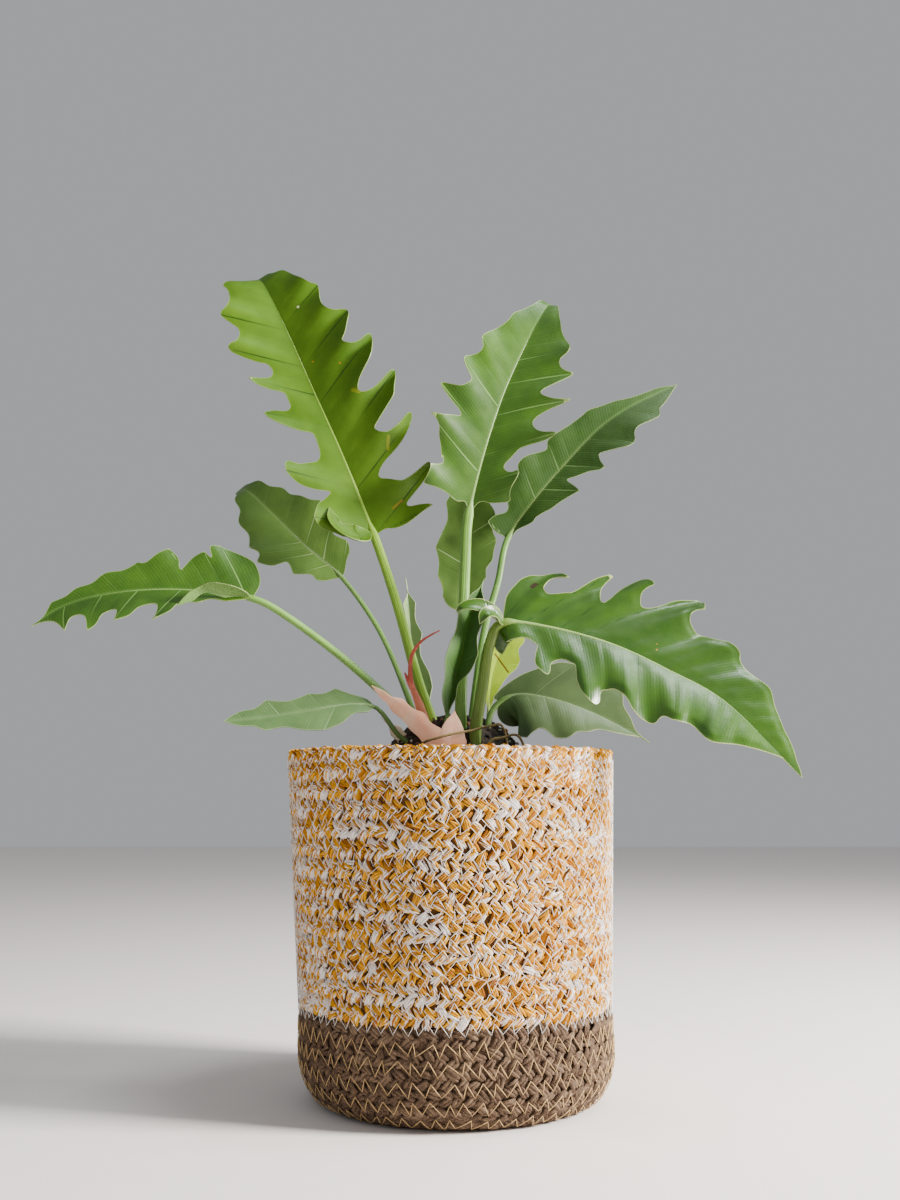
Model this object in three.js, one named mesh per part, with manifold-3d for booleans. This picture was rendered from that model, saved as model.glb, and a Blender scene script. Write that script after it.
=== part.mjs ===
// A narrow-leaved philodendron with deeply lobed blades, growing from a nursery pot that stands
// inside a two-tone basket of braided rope: a jute foot below, a mixed yellow and white wall above.
// Units are millimetres, +Z is up, the viewer looks along +Y, and the origin is the centre of the
// basket's underside.
import * as THREE from 'three';
import { mergeVertices } from 'three/addons/utils/BufferGeometryUtils.js';
import Module from 'manifold-3d';

const wasm = await Module();
wasm.setup();

// Driving dimensions of the basket. Each row is one turn of flat braid.
const BASKET_HEIGHT = 285;
const JUTE_HEIGHT = 75;
const ROW_HEIGHT = 15;
const RIM_RADIUS = 140.5;
const WAIST_RADIUS = 131;
const BELLY_RADIUS = 131.5;
const FOOT_RADIUS = 108;
const FOOT_CORNER = 42;
const BASKET_LEAN = 6;
const BRAID_THICKNESS = 8;
const SEAM_DEPTH = 2;
const BASKET_SIDES = 44;

// Driving dimensions of the nursery pot and the potting mix that fills it.
const POT_HEIGHT = 262;
const POT_BOTTOM_RADIUS = 90;
const POT_TOP_RADIUS = 119;
const POT_WALL = 1.8;
const POT_LIP_WIDTH = 5;
const POT_LIP_DEPTH = 14;
const POT_SIDES = 32;
const SOIL_LEVEL = 270;
const MOUND_TOP = [4, 40, 318];
const MOUND_PROFILE = [[76, 268], [66, 281], [56, 293], [46, 304], [34, 312], [20, 316]];

// Pieces that touch keep this gap, so that no two solids share space. A stem's hole is wider and
// reaches past the top of the heap.
const CLEARANCE = 0.35;
const HOLE_GAP = 0.6;
const HOLE_TOP = 322;

// Driving dimensions that all the blades share.
const BLADE_THICKNESS = 1;
const RIB_TIP_RADIUS = 0.8;
const RIB_BASE_SHARE = 0.8;
const RIB_TAPER = 0.7;
const VEIN_SLANT = 0.6;
const RIPPLE_LENGTH = 46;
const RIPPLE_REACH = 40;
const HINGE_GAP = 0.4;
const EDGE_STEP = 16;
const LONG_EDGE = 18;
const FULL_BOW = 0.12;
const HOLLOW_BOW = -0.12;
const RIB_STEP = 22;
const FLAT_RINGS = [0.3, 0.65, 1];
const CURLED_RINGS = [0.25, 0.5, 0.75, 1];
const STALK_STEP = 34;
const STALK_END = 12;
const THICK_STALK = 3.5;

const COLOURS = {
  jute: { color: 0x7a5a3c, roughness: 0.95 },
  cotton: { color: 0xd9a94e, roughness: 0.9 },
  plastic: { color: 0x151515, roughness: 0.6 },
  soil: { color: 0x2a211b, roughness: 1 },
  leaf: { color: 0x4f8a2e, roughness: 0.4 },
  pale_leaf: { color: 0x86b06c, roughness: 0.45 },
  lime_leaf: { color: 0x9dbd2f, roughness: 0.45 },
  sheath: { color: 0xeda98a, roughness: 0.5 },
  dry_sheath: { color: 0xd9c9a6, roughness: 0.7 },
  shoot: { color: 0xb8503f, roughness: 0.45 },
  root: { color: 0x7a5c34, roughness: 0.8 },
};

// The leaves. stalk runs from its foot in the soil to the tip of the blade, which begins at the
// point numbered blade. radius is the stalk's at the foot and where the blade begins. face is where
// the blade's upper side looks, from its base to its tip. fold lifts a half towards that side, in
// degrees, and curl bends it further, in radians per millimetre. slant is how far the veins run
// forward for each millimetre out, where it isn't the usual. edge lists the margin of a half from
// base to tip as [along the midrib, out from it]: each local maximum is the point of a lobe. wave
// is the height of the margin's ripple at its usual reach. ears are small rolled basal lobes.
const LEAVES = {
  leaf_tall_left: {
    finish: 'leaf',
    stalk: [[-8, 12, 262], [-9, 12, 290], [-29, 20, 349], [-48, 30, 417], [-70, 36, 483],
      [-99, 30, 556], [-127, 30, 619], [-158, 42, 690], [-184, 62, 744], [-198, 92, 758]],
    blade: 4,
    radius: [5, 4.1],
    face: [[0.1, -1, 0.15], [0, -1, 0.15], [0, -0.9, 0.5]],
    wave: 2.5,
    left: {
      fold: 14,
      edge: [[4, 14], [22, 42], [46, 26], [89, 54], [83, 25], [110, 17], [142, 54], [138, 30],
        [153, 27], [179, 55], [177, 32], [190, 33], [215, 62], [225, 48], [254, 57], [274, 40],
        [292, 41], [315, 20]],
    },
    right: {
      fold: 14,
      edge: [[1, 37], [8, 62], [17, 39], [43, 73], [40, 41], [50, 25], [90, 74], [87, 45],
        [97, 38], [132, 78], [127, 48], [138, 40], [176, 70], [180, 48], [186, 45], [210, 61],
        [218, 49], [228, 42], [255, 44], [290, 30], [315, 14]],
    },
    ears: [
      { path: [[-72, 34, 486], [-88, 24, 480], [-104, 18, 489], [-111, 21, 507]],
        width: 12, face: [0.5, -0.6, 0.6], curl: 0.07 },
    ],
  },
  leaf_back_left: {
    finish: 'leaf',
    stalk: [[-24, 26, 262], [-25, 27, 292], [-39, 35, 336], [-66, 55, 398], [-103, 70, 451],
      [-137, 72, 481], [-168, 76, 512], [-195, 84, 538], [-208, 102, 545]],
    blade: 4,
    radius: [2.8, 2.2],
    face: [[0.1, -1, 0.2]],
    wave: 2,
    left: {
      fold: 8,
      edge: [[7, 15], [15, 21], [24, 20], [36, 31], [46, 25], [64, 47], [68, 39], [78, 43],
        [91, 33], [106, 32], [130, 17], [148, 7]],
    },
    right: {
      fold: 8,
      edge: [[1, 4], [9, 15], [20, 30], [34, 26], [48, 40], [58, 34], [72, 43], [88, 31],
        [107, 25], [130, 15], [148, 6]],
    },
  },
  leaf_far_left: {
    finish: 'leaf',
    stalk: [[-15, -6, 262], [-17, -6, 288], [-44, -3, 320], [-92, -5, 363], [-141, -14, 399],
      [-172, -20, 415], [-217, -25, 421], [-260, -30, 421], [-300, -36, 415], [-329, -43, 404],
      [-352, -52, 386]],
    blade: 5,
    radius: [4.1, 3.2],
    face: [[0, -0.7, 0.7], [0, -0.75, 0.65]],
    wave: 2,
    left: {
      fold: 0,
      curl: -0.004,
      edge: [[10, 6], [35, 10], [60, 17], [84, 39], [82, 19], [96, 22], [120, 37], [117, 23],
        [130, 24], [151, 38], [148, 22], [160, 17], [175, 26], [176, 12]],
    },
    right: {
      fold: 22,
      edge: [[4, 32], [10, 39], [23, 46], [35, 49], [43, 45], [40, 34], [47, 40], [56, 34],
        [64, 21], [75, 44], [81, 38], [92, 28], [98, 30], [124, 21], [147, 13], [168, 9]],
    },
    ears: [
      { path: [[-173, -21, 416], [-190, -32, 422], [-208, -38, 422], [-224, -40, 412],
        [-233, -40, 405]], width: 8, face: [0.2, 0.6, 0.8], curl: -0.09 },
    ],
  },
  leaf_low_left: {
    finish: 'pale_leaf',
    stalk: [[-30, 3, 262], [-34, 2, 287], [-46, -1, 299], [-57, -4, 314], [-66, -7, 322],
      [-87, -10, 324], [-122, -15, 318], [-158, -20, 312], [-193, -25, 308]],
    blade: 4,
    radius: [2.4, 1.9],
    face: [[0, -0.85, 0.5]],
    wave: 1.5,
    left: { fold: 6, edge: [[5, 8], [18, 11], [31, 20], [64, 21], [96, 15], [116, 7]] },
    right: { fold: 6, edge: [[6, 5], [20, 10], [31, 17], [54, 17], [92, 17], [116, 8]] },
  },
  leaf_narrow_back: {
    finish: 'pale_leaf',
    stalk: [[-14, 38, 262], [-15, 39, 297], [-20, 42, 316], [-30, 50, 360], [-35, 54, 387],
      [-39, 58, 429], [-42, 60, 449]],
    blade: 2,
    radius: [2.6, 2],
    face: [[0, -1, 0.1]],
    wave: 1,
    left: { fold: 24, edge: [[14, 7], [40, 11], [80, 10], [110, 6]] },
    right: { fold: 24, edge: [[14, 5], [40, 11], [80, 11], [110, 7]] },
  },
  leaf_tall_centre: {
    finish: 'leaf',
    stalk: [[9, -4, 262], [9, -4, 300], [11, 0, 381], [14, 15, 456], [17, 25, 500],
      [30, 24, 555], [50, 29, 618], [74, 40, 675], [93, 54, 714], [101, 74, 726]],
    blade: 4,
    radius: [5.4, 4.6],
    face: [[0.1, -1, 0.1], [0.1, -1, 0.1], [0, -0.9, 0.3]],
    wave: 2.5,
    left: {
      fold: 14,
      edge: [[8, 24], [17, 50], [31, 72], [36, 64], [40, 38], [56, 38], [79, 58], [84, 40],
        [90, 32], [106, 60], [113, 42], [122, 34], [138, 49], [146, 38], [157, 37], [167, 41],
        [184, 28], [204, 22], [238, 9]],
    },
    right: {
      fold: 14,
      edge: [[8, 14], [14, 24], [24, 36], [38, 38], [54, 36], [54, 24], [73, 32], [97, 60],
        [102, 36], [115, 34], [137, 61], [134, 36], [144, 34], [164, 56], [172, 38], [192, 41],
        [217, 24], [240, 12]],
    },
  },
  leaf_upper_right: {
    finish: 'leaf',
    stalk: [[18, 11, 262], [18, 11, 300], [30, 28, 388], [44, 40, 440], [54, 50, 484],
      [79, 50, 521], [108, 55, 556], [143, 60, 594], [176, 66, 619], [228, 77, 645]],
    blade: 4,
    radius: [3.6, 2.8],
    face: [[0.1, -1, 0.3], [0, -1, 0.5]],
    wave: 2,
    left: {
      fold: 12,
      edge: [[5, 23], [23, 13], [36, 17], [50, 27], [60, 28], [71, 32], [80, 31], [89, 26],
        [96, 20], [103, 25], [110, 26], [121, 22], [135, 18], [147, 20], [171, 15], [201, 8],
        [229, 4]],
    },
    right: {
      fold: 12,
      edge: [[28, 11], [48, 19], [66, 27], [80, 36], [81, 24], [85, 16], [104, 30], [115, 38],
        [118, 29], [125, 25], [138, 34], [153, 41], [162, 40], [169, 33], [180, 29], [197, 32],
        [206, 28], [211, 20], [230, 9]],
    },
  },
  leaf_back_centre: {
    finish: 'leaf',
    stalk: [[10, 26, 262], [10, 27, 292], [13, 44, 360], [17, 60, 420], [15, 66, 470],
      [15, 72, 525], [18, 84, 590]],
    blade: 3,
    radius: [3, 2.4],
    face: [[0, -1, 0.1]],
    wave: 2.5,
    left: {
      fold: 8,
      edge: [[-3, 12], [2, 20], [20, 24], [33, 28], [46, 26], [59, 29], [73, 23], [104, 19],
        [140, 13]],
    },
    right: {
      fold: 8,
      edge: [[4, 6], [20, 13], [37, 19], [55, 27], [66, 30], [76, 26], [96, 28], [130, 19],
        [152, 9]],
    },
  },
  leaf_young_folded: {
    finish: 'leaf',
    stalk: [[0, -18, 262], [-2, -18, 290], [-3, -18, 308], [4, -17, 344], [10, -16, 366],
      [17, -15, 397], [30, -14, 434]],
    blade: 2,
    radius: [2.6, 2.2],
    face: [[0, -1, 0.15]],
    wave: 0.5,
    left: { fold: 52, edge: [[8, 4], [36, 13], [66, 18], [92, 16], [112, 9]] },
    right: { fold: 38, edge: [[12, 2], [34, 5], [62, 18], [92, 16], [112, 8]] },
  },
  leaf_front_right: {
    finish: 'leaf',
    stalk: [[21, -12, 262], [22, -12, 300], [28, -14, 338], [34, -17, 374], [46, -22, 393],
      [82, -30, 389], [135, -46, 372], [180, -62, 348], [223, -82, 319], [281, -115, 261]],
    blade: 4,
    radius: [5.4, 4.6],
    face: [[0.1, -0.75, 0.65]],
    wave: 2,
    left: {
      fold: 18,
      slant: 0.75,
      edge: [[5, 10], [7, 23], [9, 36], [14, 48], [22, 55], [34, 56], [48, 57], [37, 51],
        [32, 43], [37, 36], [50, 42], [64, 60], [79, 76], [75, 64], [75, 50], [81, 39],
        [94, 62], [108, 75], [105, 61], [109, 52], [119, 64], [138, 82], [152, 73], [146, 63],
        [149, 53], [168, 49], [190, 52], [197, 42], [215, 37], [229, 36], [238, 28], [248, 20],
        [264, 14], [280, 5]],
    },
    right: {
      fold: 0,
      curl: -0.008,
      edge: [[-8, 5], [-17, 9], [-23, 15], [-21, 25], [-11, 33], [1, 38], [13, 31], [21, 19],
        [35, 17], [43, 22], [46, 36], [53, 46], [62, 49], [61, 37], [69, 31], [83, 33],
        [91, 48], [102, 57], [113, 59], [120, 54], [119, 44], [129, 40], [150, 48], [166, 51],
        [174, 48], [176, 42], [196, 35], [219, 37], [230, 33], [249, 17], [276, 4]],
    },
    ears: [
      { path: [[46, -22, 394], [35, -31, 402], [22, -36, 406], [10, -37, 405], [5, -35, 400]],
        width: 8, face: [0.1, -0.9, 0.5], curl: 0.09 },
      { path: [[46, -25, 392], [38, -37, 399], [30, -43, 398], [25, -42, 389]],
        width: 7, face: [0.1, -0.9, 0.5], curl: 0.1 },
    ],
  },
  leaf_small_back: {
    finish: 'lime_leaf',
    stalk: [[30, 38, 262], [33, 41, 298], [35, 44, 318], [36, 46, 337], [40, 48, 360],
      [50, 50, 384], [67, 52, 405]],
    blade: 2,
    radius: [2.2, 1.8],
    face: [[0.1, -1, 0.2]],
    wave: 1,
    left: { fold: 8, edge: [[14, 3], [45, 6], [70, 8], [86, 5]] },
    right: { fold: 8, edge: [[14, 4], [27, 9], [42, 15], [62, 20], [84, 13]] },
  },
  leaf_low_right: {
    finish: 'leaf',
    stalk: [[31, 3, 262], [32, 6, 292], [36, 14, 317], [47, 17, 330], [65, 15, 335],
      [98, 7, 328], [132, 0, 314], [172, -10, 291]],
    blade: 3,
    radius: [3.2, 2.6],
    face: [[0.1, -0.75, 0.65]],
    wave: 1.5,
    left: {
      fold: 18,
      edge: [[-6, 6], [8, 12], [20, 22], [34, 33], [56, 42], [80, 38], [97, 31], [114, 12]],
    },
    right: {
      fold: 0,
      curl: -0.006,
      edge: [[-10, 3], [-18, 7], [-24, 13], [-25, 22], [-16, 33], [4, 43], [22, 46], [36, 48],
        [42, 41], [48, 36], [62, 40], [74, 36], [88, 23], [106, 11], [120, 5]],
    },
  },
};

// The bud sheaths, which are short blades rolled round the foot of a stalk. keel is the line along
// the back of a sheath, from its foot in the soil to its point, and face is where its inside looks.
const SHEATHS = {
  sheath_large: {
    finish: 'sheath',
    keel: [[-9, -21, 266], [-9, -21, 284], [-24, -19, 302], [-40, -15, 317], [-56, -12, 330],
      [-69, -8, 341]],
    face: [0.35, 1, 0.35],
    widths: [[10, 9], [30, 13], [50, 12], [72, 9], [90, 4]],
    curl: 0.065,
  },
  sheath_small: {
    finish: 'sheath',
    keel: [[2, -36, 262], [2, -36, 282], [2, -35, 299], [4, -33, 317]],
    face: [0.05, 1, 0.1],
    widths: [[10, 10], [26, 13], [42, 9]],
    curl: 0.03,
  },
  sheath_dry: {
    finish: 'dry_sheath',
    keel: [[-33, 14, 262], [-34, 14, 284], [-46, 14, 300], [-62, 13, 315]],
    face: [0.3, -1, 0.4],
    widths: [[10, 7], [28, 10], [46, 7]],
    curl: 0.02,
  },
};
const SHEATH_THICKNESS = 1.2;

// The new shoot and the aerial roots are plain tapering stems: a path and a radius at each end.
const SHOOT_PATH = [[-20, 7, 262], [-20, 7, 298], [-24, 7, 315], [-28, 6, 327], [-34, 4, 343],
  [-35, 1, 357], [-33, -1, 369], [-26, -3, 379], [-17, -5, 385], [-9, -6, 389]];
const SHOOT_RADII = [5.4, 5.2, 5, 4.7, 4, 2.6, 2.1, 1.6, 1.1, 0.5];
const SHOOT_SPUR = [[-33, 4, 339], [-37, 3, 346], [-40, 2, 353]];
const SPUR_RADII = [3, 1.9, 0.5];
const ROOTS = {
  aerial_root_left: [[-30, -34, 262], [-25, -42, 286], [-10, -46, 293], [6, -43, 297],
    [20, -36, 300], [34, -27, 304], [46, -20, 302], [52, -14, 262]],
  aerial_root_right: [[26, -46, 262], [32, -48, 288], [44, -48, 293], [58, -48, 293],
    [68, -46, 262]],
};
const ROOT_RADIUS = 1.1;

// Solids from three.js geometry, joined and cut by manifold-3d.

/** A closed three.js geometry as a manifold solid. */
function solid(geometry) {
  const bare = geometry.index ? geometry.toNonIndexed() : geometry.clone();
  const merged = mergeVertices(
    new THREE.BufferGeometry().setAttribute('position', bare.getAttribute('position')), 1e-4);
  return new wasm.Manifold(new wasm.Mesh({
    numProp: 3,
    vertProperties: merged.attributes.position.array,
    triVerts: new Uint32Array(merged.index.array),
  }));
}

/** A manifold solid as a three.js geometry. */
function geometryOf(body) {
  const mesh = body.getMesh();
  const positions = new Float32Array(mesh.numVert * 3);
  for (let i = 0; i < mesh.numVert; i++) {
    const at = i * mesh.numProp;
    positions.set(mesh.vertProperties.subarray(at, at + 3), i * 3);
  }
  const geometry = new THREE.BufferGeometry();
  geometry.setAttribute('position', new THREE.BufferAttribute(positions, 3));
  geometry.setIndex(new THREE.BufferAttribute(new Uint32Array(mesh.triVerts), 1));
  geometry.computeVertexNormals();
  return geometry;
}

/** Joins solids into one. */
function fuse(bodies) {
  return bodies.reduce((all, body) => all.add(body));
}

/** A solid of revolution about Z from [radius, height] pairs that start and end on the axis. */
function turned(profile, sides) {
  const geometry = new THREE.LatheGeometry(profile.map((p) => new THREE.Vector2(...p)), sides);
  geometry.rotateX(Math.PI / 2);
  return solid(geometry);
}

const vectors = (points) => points.map((p) => new THREE.Vector3(...p));

/** A round stem that follows centres, with a radius for each, in rings of the curve's frames. */
function stem(centres, radii, frames, sides) {
  const positions = [];
  const index = [];
  centres.forEach((centre, ring) => {
    for (let side = 0; side < sides; side++) {
      const turn = (side / sides) * 2 * Math.PI;
      const spoke = frames.normals[ring].clone().multiplyScalar(Math.cos(turn))
        .addScaledVector(frames.binormals[ring], Math.sin(turn));
      positions.push(...centre.clone().addScaledVector(spoke, radii[ring]).toArray());
    }
  });
  const last = centres.length - 1;
  positions.push(...centres[0].toArray(), ...centres[last].toArray());
  const startHub = centres.length * sides;
  for (let side = 0; side < sides; side++) {
    const next = (side + 1) % sides;
    for (let ring = 0; ring < last; ring++) {
      const a = ring * sides + side;
      const b = ring * sides + next;
      index.push(a, b, a + sides, b, b + sides, a + sides);
    }
    index.push(startHub, next, side);
    index.push(startHub + 1, last * sides + side, last * sides + next);
  }
  const geometry = new THREE.BufferGeometry();
  geometry.setAttribute('position', new THREE.Float32BufferAttribute(positions, 3));
  geometry.setIndex(index);
  return solid(geometry);
}

/** The bent sheet that a blade is cut from, on a curve from start (0 to 1 along it) to its end. */
class Sheet {
  constructor(points, firstPoint, faces) {
    this.curve = new THREE.CatmullRomCurve3(vectors(points), false, 'catmullrom', 0.5);
    this.curve.arcLengthDivisions = 400;
    const lengths = this.curve.getLengths();
    const place = (firstPoint / (points.length - 1)) * (lengths.length - 1);
    const below = Math.floor(place);
    const above = Math.min(below + 1, lengths.length - 1);
    this.start = THREE.MathUtils.lerp(lengths[below], lengths[above], place - below);
    this.total = this.curve.getLength();
    this.length = this.total - this.start;
    this.foot = -this.start;
    this.faces = vectors(faces).map((f) => f.normalize());
  }

  /** Place, direction, upper side and left side of the midrib, along mm from the blade's base. */
  frame(along) {
    const inside = THREE.MathUtils.clamp(along, this.foot, this.length);
    const u = THREE.MathUtils.clamp((this.start + inside) / this.total, 0, 1);
    const tangent = this.curve.getTangentAt(u);
    const origin = this.curve.getPointAt(u).addScaledVector(tangent, along - inside);
    const spot = (Math.max(inside, 0) / this.length) * (this.faces.length - 1);
    const from = Math.max(0, Math.min(Math.floor(spot), this.faces.length - 2));
    const to = Math.min(from + 1, this.faces.length - 1);
    const up = this.faces[from].clone().lerp(this.faces[to], spot - from).normalize();
    up.addScaledVector(tangent, -up.dot(tangent)).normalize();
    return { origin, tangent, up, left: up.clone().cross(tangent) };
  }

  /** The sheet's middle surface, along mm from the base and out mm on a side (1 left, -1 right). */
  point(along, out, side, half, wave) {
    const { origin, up, left } = this.frame(along);
    const slant = half.slant ?? VEIN_SLANT;
    const fold = THREE.MathUtils.degToRad(half.fold ?? 0);
    const curl = half.curl ?? 0;
    let across = out * Math.cos(fold);
    let rise = out * Math.sin(fold);
    if (curl && out > 0) {
      across = (Math.sin(fold + curl * out) - Math.sin(fold)) / curl;
      rise = (Math.cos(fold) - Math.cos(fold + curl * out)) / curl;
    }
    if (out > 0) {
      const ripple = Math.sin((2 * Math.PI * (along - slant * out)) / RIPPLE_LENGTH + side);
      rise += wave * (out / RIPPLE_REACH) ** 2 * ripple;
    }
    return origin.addScaledVector(left, side * across).addScaledVector(up, rise);
  }

  /** The unit normal of the sheet at a point, on its upper side. */
  normal(along, out, side, half, wave) {
    const h = 0.5;
    const p = this.point(along, out, side, half, wave);
    const forward = this.point(along + h, out, side, half, wave).sub(p);
    const outward = this.point(along, out + h, side, half, wave).sub(p);
    return forward.cross(outward).multiplyScalar(side).normalize();
  }
}

/** A margin's corners with a midpoint on each long edge: full before a lobe's tip, hollow after. */
function bowed(corners) {
  return corners.flatMap(([x, y], i) => {
    if (i === 0) return [[x, y]];
    const [fromX, fromY] = corners[i - 1];
    const [dx, dy] = [x - fromX, y - fromY];
    if (Math.hypot(dx, dy) < LONG_EDGE) return [[x, y]];
    const bow = dy > 0 ? FULL_BOW : HOLLOW_BOW;
    return [[(x + fromX) / 2 - dy * bow, (y + fromY) / 2 + dx * bow], [x, y]];
  });
}

/** The margin of a half blade as points from base to tip, with its lobe points kept sharp. */
function margin(edge, length) {
  const corners = bowed([[0, 0], ...edge, [length, 0]]);
  const isTip = (i) => i === corners.length - 1
    || (corners[i][1] > corners[i - 1][1] && corners[i][1] > corners[i + 1][1]);
  const points = [];
  let run = [new THREE.Vector2(...corners[0])];
  for (let i = 1; i < corners.length; i++) {
    run.push(new THREE.Vector2(...corners[i]));
    if (!isTip(i)) continue;
    const spline = new THREE.SplineCurve(run);
    for (let part = 0; part < run.length - 1; part++) {
      const pieces = Math.max(1, Math.round(run[part].distanceTo(run[part + 1]) / EDGE_STEP));
      for (let k = 1; k <= pieces; k++) {
        points.push(spline.getPoint((part + k / pieces) / (run.length - 1)));
      }
    }
    run = [run[run.length - 1]];
  }
  points.pop();
  return points;
}

/** Where on the midrib each point of a margin hangs from, in order from the base to the tip. */
function hinges(edge, length, slant) {
  const hinge = edge.map((p) => THREE.MathUtils.clamp(p.x - slant * p.y, 0, length));
  const last = hinge.length - 1;
  hinge[0] = 0;
  for (let i = 1; i <= last; i++) hinge[i] = Math.max(hinge[i], hinge[i - 1] + HINGE_GAP);
  hinge[last] = length;
  for (let i = last - 1; i > 0; i--) hinge[i] = Math.min(hinge[i], hinge[i + 1] - HINGE_GAP);
  return hinge;
}

/** The radius of the midrib, which tapers from the stalk's to its own at the tip. */
function ribRadius(stalkRadius, along, length) {
  const past = THREE.MathUtils.clamp(along / length, 0, 1);
  return THREE.MathUtils.lerp(stalkRadius * RIB_BASE_SHARE, RIB_TIP_RADIUS, past ** RIB_TAPER);
}

/**
 * A blade as one closed slab. Its two halves share the vertices of the midrib, which stands out as
 * a ridge on both faces, and each half is a grid of columns that slant forward like its veins.
 */
function blade(sheet, halves, wave, thickness, stalkRadius) {
  const stations = Math.ceil(sheet.length / RIB_STEP);
  const rib = Array.from({ length: stations + 1 }, (_, i) => (i / stations) * sheet.length);
  const tops = [];
  const bottoms = [];
  const add = (at, normal, half) => {
    tops.push(at.clone().addScaledVector(normal, half));
    bottoms.push(at.clone().addScaledVector(normal, -half));
    return tops.length - 1;
  };
  const midrib = rib.map((along) => {
    const { origin, up } = sheet.frame(along);
    return add(origin, up, ribRadius(stalkRadius, along, sheet.length));
  });
  const faces = [];
  const walls = [];
  for (const [side, half] of halves) {
    const turn = (list) => (side > 0 ? list : list.reverse());
    const slant = half.slant ?? VEIN_SLANT;
    const shares = half.curl ? CURLED_RINGS : FLAT_RINGS;
    const edge = margin(half.edge, sheet.length);
    const hinge = hinges(edge, sheet.length, slant);
    const grid = edge.map((p, column) => shares.map((t) => {
      const along = THREE.MathUtils.lerp(hinge[column], p.x, t);
      const out = p.y * t;
      const at = sheet.point(along, out, side, half, wave);
      return add(at, sheet.normal(along, out, side, half, wave), thickness / 2);
    }));
    let station = 0;
    let column = 0;
    while (station < stations || column < grid.length - 1) {
      const nextColumn = (hinge[column] + hinge[column + 1]) / 2;
      const nextStation = (rib[station] + rib[station + 1]) / 2;
      const corner = midrib[station];
      if (station === stations || nextColumn < nextStation) {
        faces.push(turn([corner, grid[column + 1][0], grid[column][0]]));
        column += 1;
      } else {
        faces.push(turn([corner, midrib[station + 1], grid[column][0]]));
        station += 1;
      }
    }
    for (let i = 0; i < grid.length - 1; i++) {
      for (let ring = 0; ring < shares.length - 1; ring++) {
        const [a, b] = [grid[i][ring], grid[i + 1][ring]];
        const [c, d] = [grid[i + 1][ring + 1], grid[i][ring + 1]];
        faces.push(turn([a, b, c]), turn([a, c, d]));
      }
    }
    const rim = [midrib[stations], ...grid[grid.length - 1],
      ...grid.slice(0, -1).map((ring) => ring[ring.length - 1]).reverse(),
      ...grid[0].slice(0, -1).reverse(), midrib[0]];
    for (let i = 0; i < rim.length - 1; i++) walls.push(turn([rim[i], rim[i + 1]]));
  }
  const count = tops.length;
  const index = [];
  for (const [a, b, c] of faces) index.push(a, b, c, a + count, c + count, b + count);
  for (const [p, q] of walls) index.push(p + count, q + count, q, p + count, q, p);
  const geometry = new THREE.BufferGeometry();
  const positions = [...tops, ...bottoms].flatMap((v) => v.toArray());
  geometry.setAttribute('position', new THREE.Float32BufferAttribute(positions, 3));
  geometry.setIndex(index);
  return solid(geometry);
}

/** Centres, radii and frames of a leaf's stalk, from its foot to just inside the blade. */
function stalkRings(sheet, radius) {
  const steps = Math.round(sheet.start / STALK_STEP);
  const rings = { centres: [], radii: [], frames: { normals: [], binormals: [] } };
  for (let i = 0; i <= steps; i++) {
    const share = i / steps;
    const { origin, up, left } = sheet.frame(sheet.foot + share * (sheet.start + STALK_END));
    rings.centres.push(origin);
    rings.radii.push(THREE.MathUtils.lerp(radius[0], radius[1], share));
    rings.frames.normals.push(left);
    rings.frames.binormals.push(up);
  }
  return { ...rings, sides: radius[0] > THICK_STALK ? 7 : 5 };
}

/** The hole in the soil round a stem: its lowest rings again, wider and a little deeper. */
function hole({ centres, radii, frames, sides }) {
  const buried = centres.findIndex((centre) => centre.z > HOLE_TOP) + 1;
  const path = centres.slice(0, Math.max(buried, 2)).map((centre) => centre.clone());
  path[0].z -= CLEARANCE;
  return stem(path, radii.map((r) => r + HOLE_GAP), frames, sides);
}

/** A small rolled lobe: a narrow blade with even halves along its own line. */
function rolledLobe({ path, width, face, curl }) {
  const sheet = new Sheet(path, 0, [face]);
  const { length } = sheet;
  const edge = [[length * 0.15, width * 0.8], [length * 0.5, width], [length * 0.8, width * 0.6]];
  const half = { curl, edge };
  return blade(sheet, [[1, half], [-1, half]], 0, BLADE_THICKNESS, BLADE_THICKNESS);
}

/** A whole leaf: stalk, midrib, both halves of the blade and its rolled basal lobes. */
function leaf(spec) {
  const sheet = new Sheet(spec.stalk, spec.blade, spec.face);
  const rings = stalkRings(sheet, spec.radius);
  const parts = [
    stem(rings.centres, rings.radii, rings.frames, rings.sides),
    blade(sheet, [[1, spec.left], [-1, spec.right]], spec.wave, BLADE_THICKNESS, spec.radius[1]),
    ...(spec.ears ?? []).map(rolledLobe),
  ];
  return { body: fuse(parts), holes: [hole(rings)] };
}

/** A bud sheath: one thick blade rolled towards the stalk that it covers, and its slit. */
function sheath(spec) {
  const sheet = new Sheet(spec.keel, 0, [spec.face]);
  const rolled = (extra) => {
    const half = { curl: spec.curl, edge: spec.widths.map(([along, out]) => [along, out + extra]) };
    const thickness = SHEATH_THICKNESS + 2 * extra;
    return blade(sheet, [[1, half], [-1, half]], 0, thickness, thickness);
  };
  return { body: rolled(0), holes: [rolled(HOLE_GAP)] };
}

/** Centres, radii and frames of a plain stem; its radii are spread evenly along its path. */
function stemRings(path, radii, steps, sides) {
  const curve = new THREE.CatmullRomCurve3(vectors(path), false, 'catmullrom', 0.5);
  const centres = [];
  const sizes = [];
  for (let i = 0; i <= steps; i++) {
    const place = (i / steps) * (radii.length - 1);
    const from = Math.min(Math.floor(place), radii.length - 2);
    centres.push(curve.getPointAt(i / steps));
    sizes.push(THREE.MathUtils.lerp(radii[from], radii[from + 1], place - from));
  }
  return { centres, radii: sizes, frames: curve.computeFrenetFrames(steps, false), sides };
}

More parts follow.
